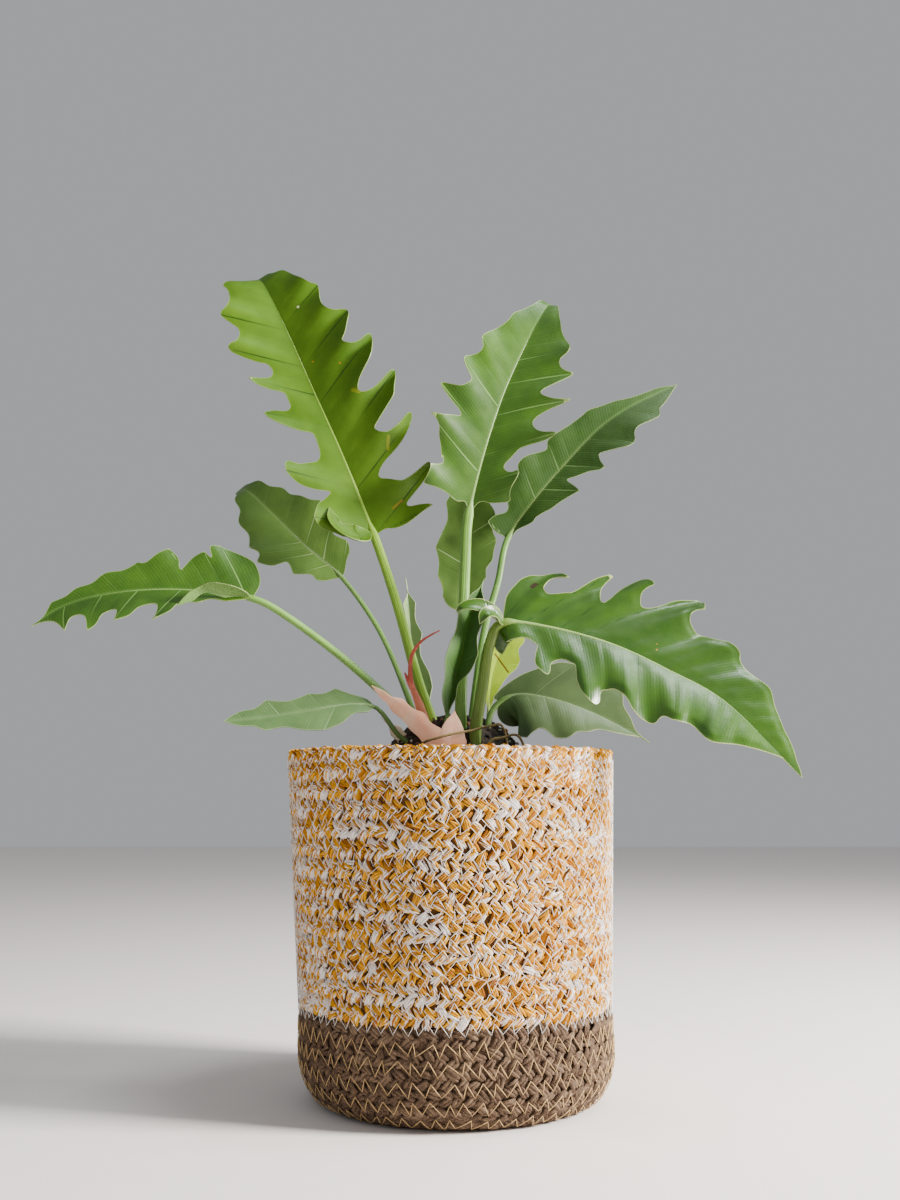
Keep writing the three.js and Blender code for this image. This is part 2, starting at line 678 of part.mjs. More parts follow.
/** The new shoot with the point of its own sheath standing off its side. */
function shoot() {
  const main = stemRings(SHOOT_PATH, SHOOT_RADII, 12, 7);
  const spur = stemRings(SHOOT_SPUR, SPUR_RADII, 3, 5);
  const body = [main, spur].map((s) => stem(s.centres, s.radii, s.frames, s.sides));
  return { body: fuse(body), holes: [hole(main)] };
}

/** An aerial root, which leaves the soil and goes back into it. */
function aerialRoot(path) {
  const rings = stemRings(path, [ROOT_RADIUS, ROOT_RADIUS], 16, 5);
  const { centres, radii, frames, sides } = rings;
  const wide = radii.map((r) => r + CLEARANCE);
  return {
    body: stem(centres, radii, frames, sides),
    holes: [stem(centres, wide, frames, sides)],
  };
}

// The basket.

/** The wall's outer radius at a height, over the crests of its braid. */
function wallRadius(height) {
  if (height < FOOT_CORNER) {
    const rise = 1 - height / FOOT_CORNER;
    return FOOT_RADIUS + (BELLY_RADIUS - FOOT_RADIUS) * Math.sqrt(1 - rise * rise);
  }
  if (height < JUTE_HEIGHT) {
    const t = (height - FOOT_CORNER) / (JUTE_HEIGHT - FOOT_CORNER);
    return THREE.MathUtils.lerp(BELLY_RADIUS, WAIST_RADIUS, t);
  }
  const t = (height - JUTE_HEIGHT) / (BASKET_HEIGHT - JUTE_HEIGHT);
  return THREE.MathUtils.lerp(WAIST_RADIUS, RIM_RADIUS, t);
}

/** The outer profile of the rows of braid from one height to another: seam, crest, seam, crest. */
function ridges(from, to) {
  const rows = Math.round((to - from) / ROW_HEIGHT);
  const profile = [];
  for (let half = 0; half < 2 * rows; half++) {
    const height = from + (half * ROW_HEIGHT) / 2;
    profile.push([wallRadius(height) - (half % 2 ? 0 : SEAM_DEPTH), height]);
  }
  return profile;
}

/** A ring of the basket, which leans to the left a little more the higher it is. */
function leaningRing(profile) {
  const geometry = new THREE.LatheGeometry(profile.map((p) => new THREE.Vector2(...p)),
    BASKET_SIDES);
  geometry.rotateX(Math.PI / 2);
  const lean = -BASKET_LEAN / BASKET_HEIGHT;
  geometry.applyMatrix4(new THREE.Matrix4().makeShear(0, 0, 0, 0, lean, 0));
  return solid(geometry);
}

/** The jute foot: a bowl with a flat underside, a rounded corner and rows of braid. */
function juteFoot() {
  const corner = [0.1, 0.4].map((part) => {
    const height = part * ROW_HEIGHT;
    return [wallRadius(height), height];
  });
  const top = JUTE_HEIGHT - CLEARANCE;
  const inside = [[WAIST_RADIUS - BRAID_THICKNESS, top],
    [BELLY_RADIUS - BRAID_THICKNESS, FOOT_CORNER],
    [FOOT_RADIUS - 2, BRAID_THICKNESS], [0, BRAID_THICKNESS]];
  return leaningRing([[0, 0], [FOOT_RADIUS, 0], ...corner, ...ridges(ROW_HEIGHT, JUTE_HEIGHT),
    [WAIST_RADIUS - SEAM_DEPTH, top], ...inside]);
}

/** The yellow and white wall: rows of braid that end in a rounded rim. */
function cottonWall() {
  const inner = RIM_RADIUS - BRAID_THICKNESS;
  const profile = [[WAIST_RADIUS - BRAID_THICKNESS, JUTE_HEIGHT],
    ...ridges(JUTE_HEIGHT, BASKET_HEIGHT), [RIM_RADIUS - 2, BASKET_HEIGHT - 1],
    [RIM_RADIUS - 4, BASKET_HEIGHT], [inner + 1.5, BASKET_HEIGHT - 1], [inner, BASKET_HEIGHT - 5]];
  profile.push(profile[0]);
  return leaningRing(profile);
}

// The nursery pot and its soil.
const POT_FLOOR = BRAID_THICKNESS + CLEARANCE;
const LIP_HEIGHT = POT_HEIGHT - POT_LIP_DEPTH;

/** The nursery pot: a tapered plastic tub with a turned-out lip, standing in the basket. */
function growPot() {
  const lipRadius = POT_TOP_RADIUS + POT_LIP_WIDTH;
  return turned([
    [0, POT_FLOOR], [POT_BOTTOM_RADIUS, POT_FLOOR], [POT_TOP_RADIUS, LIP_HEIGHT],
    [lipRadius, LIP_HEIGHT], [lipRadius, POT_HEIGHT], [lipRadius - POT_WALL, POT_HEIGHT],
    [lipRadius - POT_WALL, LIP_HEIGHT + POT_WALL],
    [POT_TOP_RADIUS - POT_WALL, LIP_HEIGHT + POT_WALL],
    [POT_BOTTOM_RADIUS - POT_WALL, POT_FLOOR + POT_WALL], [0, POT_FLOOR + POT_WALL],
  ], POT_SIDES);
}

/** The potting mix: it fills the pot, is heaped behind the stems and has a hole for each. */
function soil(holes) {
  const floor = POT_FLOOR + POT_WALL + CLEARANCE;
  const fit = POT_WALL + CLEARANCE;
  const fill = turned([
    [0, floor], [POT_BOTTOM_RADIUS - fit, floor], [POT_TOP_RADIUS - fit, LIP_HEIGHT],
    [POT_TOP_RADIUS - fit - 3, SOIL_LEVEL - 5], [POT_TOP_RADIUS - fit - 12, SOIL_LEVEL],
    [0, SOIL_LEVEL],
  ], POT_SIDES);
  const [x, y, top] = MOUND_TOP;
  const mound = turned([[0, LIP_HEIGHT], [MOUND_PROFILE[0][0], LIP_HEIGHT], ...MOUND_PROFILE,
    [0, top]], POT_SIDES / 2).translate([x, y, 0]);
  return holes.reduce((left, cut) => left.subtract(cut), fill.add(mound));
}

// The whole plant in its basket. The crown stands over the rim's centre, to the left of the foot's.
const plant = new THREE.Group();
const crown = new THREE.Group();
crown.position.x = -BASKET_LEAN;
plant.add(crown);

/** Adds a solid to a group as a named mesh with its own material. */
function place(group, name, body, finish) {
  const material = new THREE.MeshStandardMaterial({ metalness: 0, ...COLOURS[finish] });
  const mesh = new THREE.Mesh(geometryOf(body), material);
  mesh.name = name;
  group.add(mesh);
}

const holes = [];

/** Adds a piece that grows out of the soil and keeps its holes for the soil. */
function grow(name, piece, finish) {
  place(crown, name, piece.body, finish);
  holes.push(...piece.holes);
}

for (const [name, spec] of Object.entries(LEAVES)) grow(name, leaf(spec), spec.finish);
for (const [name, spec] of Object.entries(SHEATHS)) grow(name, sheath(spec), spec.finish);
for (const [name, path] of Object.entries(ROOTS)) grow(name, aerialRoot(path), 'root');
grow('new_shoot', shoot(), 'shoot');
place(crown, 'soil', soil(holes), 'soil');
place(crown, 'grow_pot', growPot(), 'plastic');
place(plant, 'basket_foot', juteFoot(), 'jute');
place(plant, 'basket_wall', cottonWall(), 'cotton');

export default plant;
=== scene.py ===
"""Looks for a potted narrow escape philodendron in a basket of braided rope.

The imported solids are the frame, and every piece here stands where its solid does. The tables give
millimetres: the plant's in its own frame, whose origin is the centre of the basket's rim, dropped
to the floor. Meshes are in metres.
"""
import logging
import math
from dataclasses import dataclass, field, replace
from enum import Enum

import bpy
import numpy as np
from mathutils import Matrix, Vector
from mathutils.geometry import delaunay_2d_cdt


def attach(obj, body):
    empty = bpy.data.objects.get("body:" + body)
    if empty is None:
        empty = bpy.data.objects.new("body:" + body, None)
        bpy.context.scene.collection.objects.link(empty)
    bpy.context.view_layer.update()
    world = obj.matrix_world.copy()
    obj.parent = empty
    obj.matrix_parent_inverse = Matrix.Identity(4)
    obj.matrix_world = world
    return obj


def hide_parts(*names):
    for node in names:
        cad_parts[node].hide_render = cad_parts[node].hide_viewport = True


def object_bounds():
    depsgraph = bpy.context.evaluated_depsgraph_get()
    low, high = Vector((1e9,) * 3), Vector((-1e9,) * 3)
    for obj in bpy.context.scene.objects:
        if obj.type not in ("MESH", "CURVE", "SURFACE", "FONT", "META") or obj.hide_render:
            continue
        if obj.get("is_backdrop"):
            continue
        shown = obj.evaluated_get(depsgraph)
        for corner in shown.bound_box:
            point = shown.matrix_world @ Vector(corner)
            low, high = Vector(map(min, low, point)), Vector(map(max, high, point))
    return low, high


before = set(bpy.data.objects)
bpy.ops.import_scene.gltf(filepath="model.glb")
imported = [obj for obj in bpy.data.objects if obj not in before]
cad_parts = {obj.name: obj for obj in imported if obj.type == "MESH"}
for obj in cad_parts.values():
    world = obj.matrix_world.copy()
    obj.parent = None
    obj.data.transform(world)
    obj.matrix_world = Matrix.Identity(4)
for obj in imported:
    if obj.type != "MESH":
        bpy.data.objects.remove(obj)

LOG = logging.getLogger("philodendron")
MM = 0.001
BODY = "root"
SURFACE_MAP = "UVMap"
CROWN_SHIFT = -6.0
Array = np.ndarray
Piece = bpy.types.Object
Material = bpy.types.Material
Triple = tuple[float, float, float]
Colour = Triple
Path = tuple[Triple, ...]
Pairs = tuple[tuple[float, float], ...]


class Slot(Enum):
    """The record's material slots."""

    LEAF = "leaf"
    PALE_LEAF = "pale_leaf"
    LIME_LEAF = "lime_leaf"
    SHEATH = "sheath"
    DRY_SHEATH = "dry_sheath"
    SHOOT = "shoot"
    ROOT = "root"
    SOIL = "soil"
    PLASTIC = "plastic"
    JUTE = "jute"
    COTTON = "cotton"


class Side(Enum):
    """The two halves of a blade, as the sign of their direction from the midrib."""

    LEFT = 1
    RIGHT = -1


def srgb(red: int, green: int, blue: int) -> Colour:
    """Turns a colour of 0 to 255 steps a channel into linear values."""
    return tuple((c / 255 / 12.92) if c <= 10 else ((c / 255 + 0.055) / 1.055) ** 2.4
                 for c in (red, green, blue))


# Shader graphs


class Socket:
    """A shader output that takes part in Python arithmetic, each sign adding its Math node."""

    def __init__(self, graph: "Graph", link: bpy.types.NodeSocket) -> None:
        """Keeps the graph and the output socket."""
        self.graph = graph
        self.link = link

    def __add__(self, other: "Number") -> "Socket":
        """Adds."""
        return self.graph.math("ADD", self, other)

    def __radd__(self, other: "Number") -> "Socket":
        """Adds, with the number first."""
        return self.graph.math("ADD", other, self)

    def __sub__(self, other: "Number") -> "Socket":
        """Subtracts."""
        return self.graph.math("SUBTRACT", self, other)

    def __rsub__(self, other: "Number") -> "Socket":
        """Subtracts from a number."""
        return self.graph.math("SUBTRACT", other, self)

    def __mul__(self, other: "Number") -> "Socket":
        """Multiplies."""
        return self.graph.math("MULTIPLY", self, other)

    def __rmul__(self, other: "Number") -> "Socket":
        """Multiplies, with the number first."""
        return self.graph.math("MULTIPLY", other, self)


Number = float | Socket


class Graph:
    """The node tree of one material."""

    def __init__(self, name: str) -> None:
        """Makes an empty material of that name."""
        self.material = bpy.data.materials.new(name)
        self.material.use_nodes = True
        self.tree = self.material.node_tree
        self.tree.nodes.clear()

    def node(self, kind: str, settings: dict | None = None,
             sockets: dict | None = None) -> bpy.types.Node:
        """Adds one node.

        Args:
            kind: The node's type without its ShaderNode prefix.
            settings: Properties, which are set first; "stops" are a ramp's.
            sockets: A value or a Socket for each input, by name or number.

        Returns:
            The node.
        """
        node = self.tree.nodes.new("ShaderNode" + kind)
        for key, value in (settings or {}).items():
            if key == "stops":
                self._set_stops(node, value)
            else:
                setattr(node, key, value)
        for key, value in (sockets or {}).items():
            if isinstance(value, Socket):
                self.tree.links.new(value.link, node.inputs[key])
            else:
                node.inputs[key].default_value = value
        return node

    @staticmethod
    def _set_stops(node: bpy.types.Node, stops: list[tuple[float, float]]) -> None:
        """Gives a ramp grey stops.

        Args:
            node: The ramp.
            stops: A place and a grey value for each stop.
        """
        elements = node.color_ramp.elements
        while len(elements) < len(stops):
            elements.new(0.5)
        for element, (place, value) in zip(elements, stops):
            element.position = place
            element.color = (value, value, value, 1)

    def math(self, operation: str, *values: Number) -> Socket:
        """Adds a Math node of that operation on up to three values and returns its result."""
        node = self.node("Math", {"operation": operation}, dict(enumerate(values)))
        return Socket(self, node.outputs[0])

    def ramp(self, value: Number, *stops: tuple[float, float]) -> Socket:
        """Adds a grey ramp over a value from 0 to 1 and returns its result."""
        node = self.node("ValToRGB", {"stops": list(stops)}, {0: value})
        return Socket(self, node.outputs[0])

    def step(self, value: Number, low: float, high: float) -> Socket:
        """Returns a soft step that goes from 0 at low to 1 at high, either way round."""
        start, end, first, last = (low, high, 0.0, 1.0) if low < high else (high, low, 1.0, 0.0)
        node = self.node("MapRange", {"interpolation_type": "SMOOTHSTEP"},
                         {0: value, 1: start, 2: end, 3: first, 4: last})
        return Socket(self, node.outputs[0])

    def mix(self, share: Number, first: "Colour | Socket", second: "Colour | Socket") -> Socket:
        """Mixes two colours by a share of the second and returns the result."""
        sides = {key: (*side, 1.0) if isinstance(side, tuple) else side
                 for key, side in ((6, first), (7, second))}
        node = self.node("Mix", {"data_type": "RGBA"}, {0: share, **sides})
        return Socket(self, node.outputs[2])

    def place(self) -> Socket:
        """Returns the Object coordinates, in metres."""
        return Socket(self, self.node("TexCoord").outputs["Object"])

    def surface_map(self) -> Socket:
        """Returns the piece's own UV map."""
        return Socket(self, self.node("UVMap", {"uv_map": SURFACE_MAP}).outputs[0])

    def parts(self, vector: Socket) -> tuple[Socket, Socket, Socket]:
        """Splits a vector into its three numbers."""
        outputs = self.node("SeparateXYZ", {}, {0: vector}).outputs
        return tuple(Socket(self, output) for output in outputs)

    def attribute(self, name: str) -> Socket:
        """Returns a number that the mesh keeps at its points."""
        node = self.node("Attribute", {"attribute_name": name})
        return Socket(self, node.outputs["Fac"])

    def noise(self, scale: float, detail: float = 3.0, where: Socket | None = None,
              roughness: float = 0.55) -> Socket:
        """Returns a noise from 0 to 1.

        Args:
            scale: Its number of features in a metre.
            detail: Its octaves.
            where: The coordinates, if not the Object ones.
            roughness: How strong the finer octaves are.

        Returns:
            The noise.
        """
        node = self.node("TexNoise", {}, {"Vector": where or self.place(), "Scale": scale,
                                          "Detail": detail, "Roughness": roughness})
        return Socket(self, node.outputs["Fac"])

    def cells(self, scale: float, output: str = "Distance") -> Socket:
        """Returns a value of a cell pattern in Object coordinates."""
        node = self.node("TexVoronoi", {}, {"Vector": self.place(), "Scale": scale})
        return Socket(self, node.outputs[output])

    def nearness(self, places: list[Vector], radius: float) -> Socket:
        """Returns 1 near a place or a line between two and 0 away from it, with a soft rim.

        Args:
            places: One place, or both ends of a line, in metres.
            radius: The reach in millimetres.

        Returns:
            The nearness.
        """
        start = places[0]
        nearest: Socket | Vector = start
        if len(places) > 1:
            way = places[1] - start
            share = self.vector("DOT_PRODUCT", self.vector("SUBTRACT", self.place(), start),
                                way / way.length_squared)
            share = self.math("MINIMUM", self.math("MAXIMUM", share, 0.0), 1.0)
            nearest = self.vector("ADD", self.vector("SCALE", way, scale=share), start)
        gap = self.vector("DISTANCE", self.place(), nearest)
        return self.step(gap, radius * MM, radius * 0.5 * MM)

    def vector(self, operation: str, *values: "Socket | Vector", scale: Number | None = None) -> Socket:
        """Adds a Vector Math node and returns its result.

        Args:
            operation: What it does.
            values: One or two vectors.
            scale: The factor, for SCALE.

        Returns:
            The number or vector that comes out.
        """
        sockets = {key: tuple(value) if isinstance(value, Vector) else value
                   for key, value in enumerate(values)}
        if scale is not None:
            sockets["Scale"] = scale
        node = self.node("VectorMath", {"operation": operation}, sockets)
        single = operation in ("DISTANCE", "DOT_PRODUCT")
        return Socket(self, node.outputs["Value" if single else "Vector"])

    def bands(self, turns: Socket) -> Socket:
        """Returns a wave between 0 and 1 that comes back with every turn."""
        return self.math("SINE", turns * (2 * math.pi)) * 0.5 + 0.5

    def bump(self, height: Number, depth: float, strength: float = 1.0) -> Socket:
        """Returns a normal for a relief.

        Args:
            height: The relief, from 0 to 1.
            depth: Its depth in millimetres.
            strength: The share of it that shows.

        Returns:
            The bent normal.
        """
        node = self.node("Bump", {}, {"Height": height, "Distance": depth * MM, "Strength": strength})
        return Socket(self, node.outputs[0])

    def finish(self, colour: "Colour | Socket", roughness: Number, normal: Socket | None = None,
               **constants: float) -> Material:
        """Ends the graph in a Principled surface.

        Args:
            colour: The base colour.
            roughness: The roughness.
            normal: The bent normal, if there is one.
            constants: Plain values for other sockets, with _ for each space in their names.

        Returns:
            The material.
        """
        base = (*colour, 1.0) if isinstance(colour, tuple) else colour
        sockets = {"Base Color": base, "Roughness": roughness}
        sockets.update({key.replace("_", " "): value for key, value in constants.items()})
        if normal is not None:
            sockets["Normal"] = normal
        shader = self.node("BsdfPrincipled", {}, sockets)
        output = self.node("OutputMaterial")
        self.tree.links.new(shader.outputs[0], output.inputs["Surface"])
        return self.material


# Finishes


@dataclass(frozen=True)
class Spot:
    """A mark of colour on a leaf, such as a blemish, at a place in the photograph, or a streak between
    two.

    The radius is in millimetres, and the strength is how much of the leaf's colour it covers.
    """

    seen: Pairs
    radius: float
    colour: Colour
    strength: float = 0.85


@dataclass(frozen=True)
class LeafFinish:
    """The skin of a leaf: mottling from deep to fresh, veins with painted shade beside the main ones, a
    thin pale margin that is a painted highlight along the edge, and specks.

    Veined tells how clearly the veins show, and the last number how strongly the pale line round the
    blade shows, which is painted highlight; gloss is the upper side's roughness, and shine the strength
    of its reflections.
    """

    deep: Colour
    fresh: Colour
    vein: Colour
    margin: Colour
    back: Colour
    stalk: Colour
    rib: Colour
    gloss: float = 0.42
    veined: float = 0.5
    shine: float = 0.28
    painted_edge_highlight: float = 0.45

    def upper(self, name: str, spots: list[tuple[Spot, list[Vector]]]) -> Material:
        """Makes the material of the upper side.

        Args:
            name: The material's name.
            spots: The marks of colour on this leaf and where they lie.

        Returns:
            The material.
        """
        g = Graph(name)
        along, out, _ = g.parts(g.surface_map())
        vein = g.attribute("vein")
        broad = g.ramp(g.noise(13, 3), (0.3, 0.0), (0.72, 1.0))
        mottle = g.ramp(g.noise(75, 4), (0.35, 0.0), (0.7, 1.0))
        fine = g.bands(along * 3.4 + g.noise(60, 2) * 0.6)
        colour = g.mix(broad * 0.6 + mottle * 0.3, self.deep, self.fresh)
        colour = g.mix(fine * 0.06, colour, self.vein)
        colour = g.mix(g.step(out, 0.3, 0.0) * 0.2, colour, self.vein)
        # Painted shade: a darker band within about 3 mm of each main vein, in the sunken troughs along
        # it.
        colour = g.mix(g.step(vein, 3.0, 0.8) * 0.2, colour, self.deep)
        minor = g.step(g.attribute("minor"), 0.7, 0.2)
        major = g.step(vein, 1.0, 0.35)
        colour = g.mix(minor * 0.12, colour, self.vein)
        colour = g.mix(major * self.veined, colour, self.vein)
        flecks = g.step(g.noise(380, 2), 0.76, 0.8)
        colour = g.mix(flecks * 0.4, colour, (0.16, 0.13, 0.03))
        for spot, places in spots:
            near = g.nearness(places, spot.radius)
            colour = g.mix(near * spot.strength, colour, spot.colour)
        # Painted highlight: a pale line in the margin colour along the blade's edge.
        colour = g.mix(g.step(g.attribute("edge"), 0.7, 0.2) * self.painted_edge_highlight, colour, self.margin)
        relief = fine * 0.1 + g.noise(900, 2) * 0.1 - major * 0.5 - minor * 0.15
        rough = g.noise(140, 3) * 0.16 + (self.gloss - 0.06)
        return g.finish(colour, rough, g.bump(relief, 0.4, 0.6), Specular_IOR_Level=self.shine)

    def under(self, name: str) -> Material:
        """Makes the material of the underside, which is paler and dull.

        Args:
            name: The material's name.

        Returns:
            The material.
        """
        g = Graph(name)
        along, _, _ = g.parts(g.surface_map())
        major = g.step(g.attribute("vein"), 1.2, 0.3)
        colour = g.mix(g.noise(40, 3), self.back, self.vein)
        colour = g.mix(major * 0.5, colour, self.vein)
        fine = g.math("SINE", (along * 2.6 + g.noise(60, 2) * 0.5) * (2 * math.pi))
        return g.finish(colour, 0.55, g.bump(fine * 0.1 + major * 0.6, 0.5, 0.6),
                        Specular_IOR_Level=self.shine)

    def rim(self, name: str) -> Material:
        """Makes the material of the blade's cut edge, paled towards the margin colour as a painted
        highlight.
        """
        g = Graph(name)
        pale = g.ramp(g.noise(300, 2), (0.3, 0.5), (0.7, 1.0)) * (self.painted_edge_highlight * 1.2)
        return g.finish(g.mix(pale, self.fresh, self.margin), 0.5)

    def stem(self, name: str) -> Material:
        """Makes the material of the stalk and the midrib, streaked along its length.

        Args:
            name: The material's name.

        Returns:
            The material.
        """
        g = Graph(name)
        around, _, _ = g.parts(g.surface_map())
        streak = g.bands(around * 14.0 + g.noise(50, 2) * 0.6)
        blotch = g.ramp(g.noise(45, 4), (0.35, 0.0), (0.75, 1.0))
        flecks = g.step(g.noise(700, 2), 0.68, 0.78)
        colour = g.mix(streak * 0.3 + blotch * 0.4, self.stalk, self.fresh)
        colour = g.mix(flecks * 0.3, colour, self.margin)
        colour = g.mix(g.attribute("rib") * 0.8, colour, self.rib)
        return g.finish(colour, g.noise(200, 2) * 0.2 + 0.3, g.bump(streak * 0.6, 0.3, 0.6))


@dataclass(frozen=True)
class TissueFinish:
    """The skin of a sheath, a shoot or a root: a base colour with a flush in blotches, and lines.

    The foot's colour ends between the two heights of rise. These and the relief of the lines are in
    millimetres. The last number is painted light: the strength of an emission of the surface's own
    colour, which makes it glow brighter than the lamps light it.
    """

    name: str
    base: Colour
    flush: Colour
    line: Colour
    rough: float
    relief: float = 0.25
    foot: Colour = (0.0, 0.0, 0.0)
    rise: tuple[float, float] = (0.0, 1.0)
    painted_glow: float = 0.0

    def material(self) -> Material:
        """Makes the material.

        Returns:
            The material.
        """
        g = Graph(self.name)
        around, _, _ = g.parts(g.surface_map())
        lines = g.bands(around * 9.0 + g.noise(70, 2) * 1.2)
        blotch = g.ramp(g.noise(55, 4), (0.35, 0.0), (0.7, 1.0))
        height = g.parts(g.place())[2] + (blotch - 0.5) * 0.012
        colour = g.mix(blotch * 0.7, self.base, self.flush)
        colour = g.mix(g.step(height, self.rise[1] * MM, self.rise[0] * MM), colour, self.foot)
        colour = g.mix(lines * lines * 0.22, colour, self.line)
        grain = g.noise(800, 3)
        colour = g.mix(g.step(grain, 0.66, 0.76) * 0.25, colour, self.line)
        # Painted light: the surface gives off its own colour as emission, though it is no lamp.
        return g.finish(colour, g.noise(180, 2) * 0.15 + (self.rough - 0.07),
                        g.bump(lines * 0.7 + grain * 0.5, self.relief, 0.8),
                        Emission_Color=colour, Emission_Strength=self.painted_glow)


@dataclass(frozen=True)
class YarnFinish:
    """Soft yarn whose own number "tint" runs from the light colour to the strong one, with painted shade
    in its grooves.
    """

    name: str
    light: Colour
    strong: Colour
    deep: Colour
    rough: float = 0.85

    def material(self) -> Material:
        """Makes the material.

        Returns:
            The material.
        """
        g = Graph(self.name)
        around, along, _ = g.parts(g.surface_map())
        turn = along * 2.2 + around * 2.0
        ply = g.bands(turn)
        groove = g.bands(turn * 2.0)
        fibre = g.noise(2600, 3)
        shade = g.attribute("shade")
        share = g.attribute("tint")
        strong = g.step(ply + fibre * 0.3 + share * 1.3, 1.2, 1.4)
        tone = g.mix(shade, self.strong, self.deep)
        tone = g.mix(g.step(shade, 0.45, 0.0), tone, self.strong)
        colour = g.mix(strong, self.light, tone)
        # Painted shade: darker towards the deep colour in the twist grooves between the plies and in the
        # low spots of the fibre.
        painted_groove_shade = g.step(groove, 0.35, 0.0) * 0.35 + g.step(fibre, 0.62, 0.35) * 0.25
        colour = g.mix(painted_groove_shade * 0.7, colour, self.deep)
        return g.finish(colour, self.rough, g.bump(groove * 0.5 + fibre * 0.8, 0.35, 0.8),
                        Sheen_Weight=0.1, Specular_IOR_Level=0.15)


@dataclass(frozen=True)
class JuteFinish:
    """Coarse jute: stretched brown fibres, light loose ones, and painted shade in the hollows between the
    strands.
    """

    name: str
    base: Colour
    light: Colour
    deep: Colour

    def material(self) -> Material:
        """Makes the material.

        Returns:
            The material.
        """
        g = Graph(self.name)
        around, _, _ = g.parts(g.surface_map())
        thread = g.noise(900, 4)
        strands = g.bands(around * 5.0 + thread * 0.8)
        patch = g.noise(90, 3)
        colour = g.mix(g.ramp(thread, (0.35, 0.0), (0.7, 1.0)), self.deep, self.base)
        colour = g.mix(g.step(g.noise(1900, 2), 0.6, 0.72) * 0.7, colour, self.light)
        # Painted shade in the hollows between the strands.
        colour = g.mix((1 - strands) * 0.35, colour, self.deep)
        colour = g.mix(g.step(patch, 0.45, 0.7) * 0.25, colour, self.light)
        return g.finish(colour, 0.92, g.bump(thread * 0.8 + strands * 0.4, 0.5, 0.9))


@dataclass(frozen=True)
class PlainFinish:
    """A surface of one colour with specks of grain, such as thread, plastic or the floor.

    Scale is the grain's number of features in a metre, and depth its depth in millimetres.
    """

    name: str
    base: Colour
    speck: Colour
    rough: float
    scale: float
    depth: float

    def material(self) -> Material:
        """Makes the material.

        Returns:
            The material.
        """
        g = Graph(self.name)
        grain = g.noise(self.scale, 4)
        colour = g.mix(g.ramp(grain, (0.4, 0.0), (0.75, 1.0)) * 0.7, self.base, self.speck)
        return g.finish(colour, g.noise(self.scale * 0.3, 2) * 0.1 + (self.rough - 0.05),
                        g.bump(grain, self.depth, 0.6))


@dataclass(frozen=True)
class SoilFinish:
    """Potting mix: dark wet crumbs, brown drier ones and pale fibres and specks."""

    name: str
    dark: Colour
    brown: Colour
    pale: Colour

    def material(self) -> Material:
        """Makes the material.

        Returns:
            The material.
        """
        g = Graph(self.name)
        crumb = g.cells(420)
        colour = g.mix(g.ramp(g.noise(160, 5), (0.35, 0.0), (0.7, 1.0)), self.dark, self.brown)
        colour = g.mix(g.step(g.noise(1100, 3), 0.68, 0.75) * 0.7, colour, self.pale)
        return g.finish(colour, 0.95, g.bump((1 - crumb) * 0.7 + g.noise(1200, 4) * 0.5, 1.5))


# Mesh helpers


def deselect() -> None:
    """Leaves edit mode and deselects every object."""
    if bpy.context.object and bpy.context.object.mode != "OBJECT":
        bpy.ops.object.mode_set(mode="OBJECT")
    bpy.ops.object.select_all(action="DESELECT")


def activate(piece: Piece) -> None:
    """Makes a piece the one selected and active object."""
    deselect()
    piece.select_set(True)
    bpy.context.view_layer.objects.active = piece


def apply_modifier(piece: Piece, kind: str, **settings: object) -> None:
    """Adds a modifier to a piece and applies it.

    Args:
        piece: The piece.
        kind: The modifier's type.
        settings: Its properties.
    """
    activate(piece)
    modifier = piece.modifiers.new(kind.title(), kind)
    for key, value in settings.items():
        setattr(modifier, key, value)
    bpy.ops.object.modifier_apply(modifier=modifier.name)


def set_places(mesh: bpy.types.Mesh, places: Array) -> None:
    """Moves a mesh's vertices to the rows of an array."""
    mesh.vertices.foreach_set("co", places.astype(np.float32).ravel())
    mesh.update()


def get_places(mesh: bpy.types.Mesh) -> Array:
    """Returns a mesh's vertices as the rows of an array."""
    flat = np.empty(len(mesh.vertices) * 3, np.float32)
    mesh.vertices.foreach_get("co", flat)
    return flat.reshape(-1, 3).astype(float)


def set_number(mesh: bpy.types.Mesh, name: str, values: Array) -> None:
    """Keeps a number at each point of a mesh for its material."""
    numbers = mesh.attributes.new(name, "FLOAT", "POINT")
    numbers.data.foreach_set("value", values.astype(np.float32).ravel())


def set_chart(mesh: bpy.types.Mesh, chart: Array) -> None:
    """Gives a mesh a UV map.

    Args:
        mesh: The mesh.
        chart: The two numbers of each of its points.
    """
    corner = np.empty(len(mesh.loops), np.int32)
    mesh.loops.foreach_get("vertex_index", corner)
    layer = mesh.uv_layers[0] if mesh.uv_layers else mesh.uv_layers.new()
    layer.name = SURFACE_MAP
    layer.data.foreach_set("uv", chart[corner].astype(np.float32).ravel())


def show(name: str, data: bpy.types.ID) -> Piece:
    """Makes an object of a mesh or a curve and puts it into the scene."""
    piece = bpy.data.objects.new(name, data)
    bpy.context.scene.collection.objects.link(piece)
    return piece


def merge_doubles(piece: Piece, outward: bool = False) -> None:
    """Merges a piece's doubled vertices.

    Args:
        piece: The piece.
        outward: Whether its normals are worked out again.
    """
    activate(piece)
    bpy.ops.object.mode_set(mode="EDIT")
    bpy.ops.mesh.select_all(action="SELECT")
    bpy.ops.mesh.remove_doubles(threshold=2e-6)
    if outward:
        bpy.ops.mesh.normals_make_consistent(inside=False)
    bpy.ops.object.mode_set(mode="OBJECT")


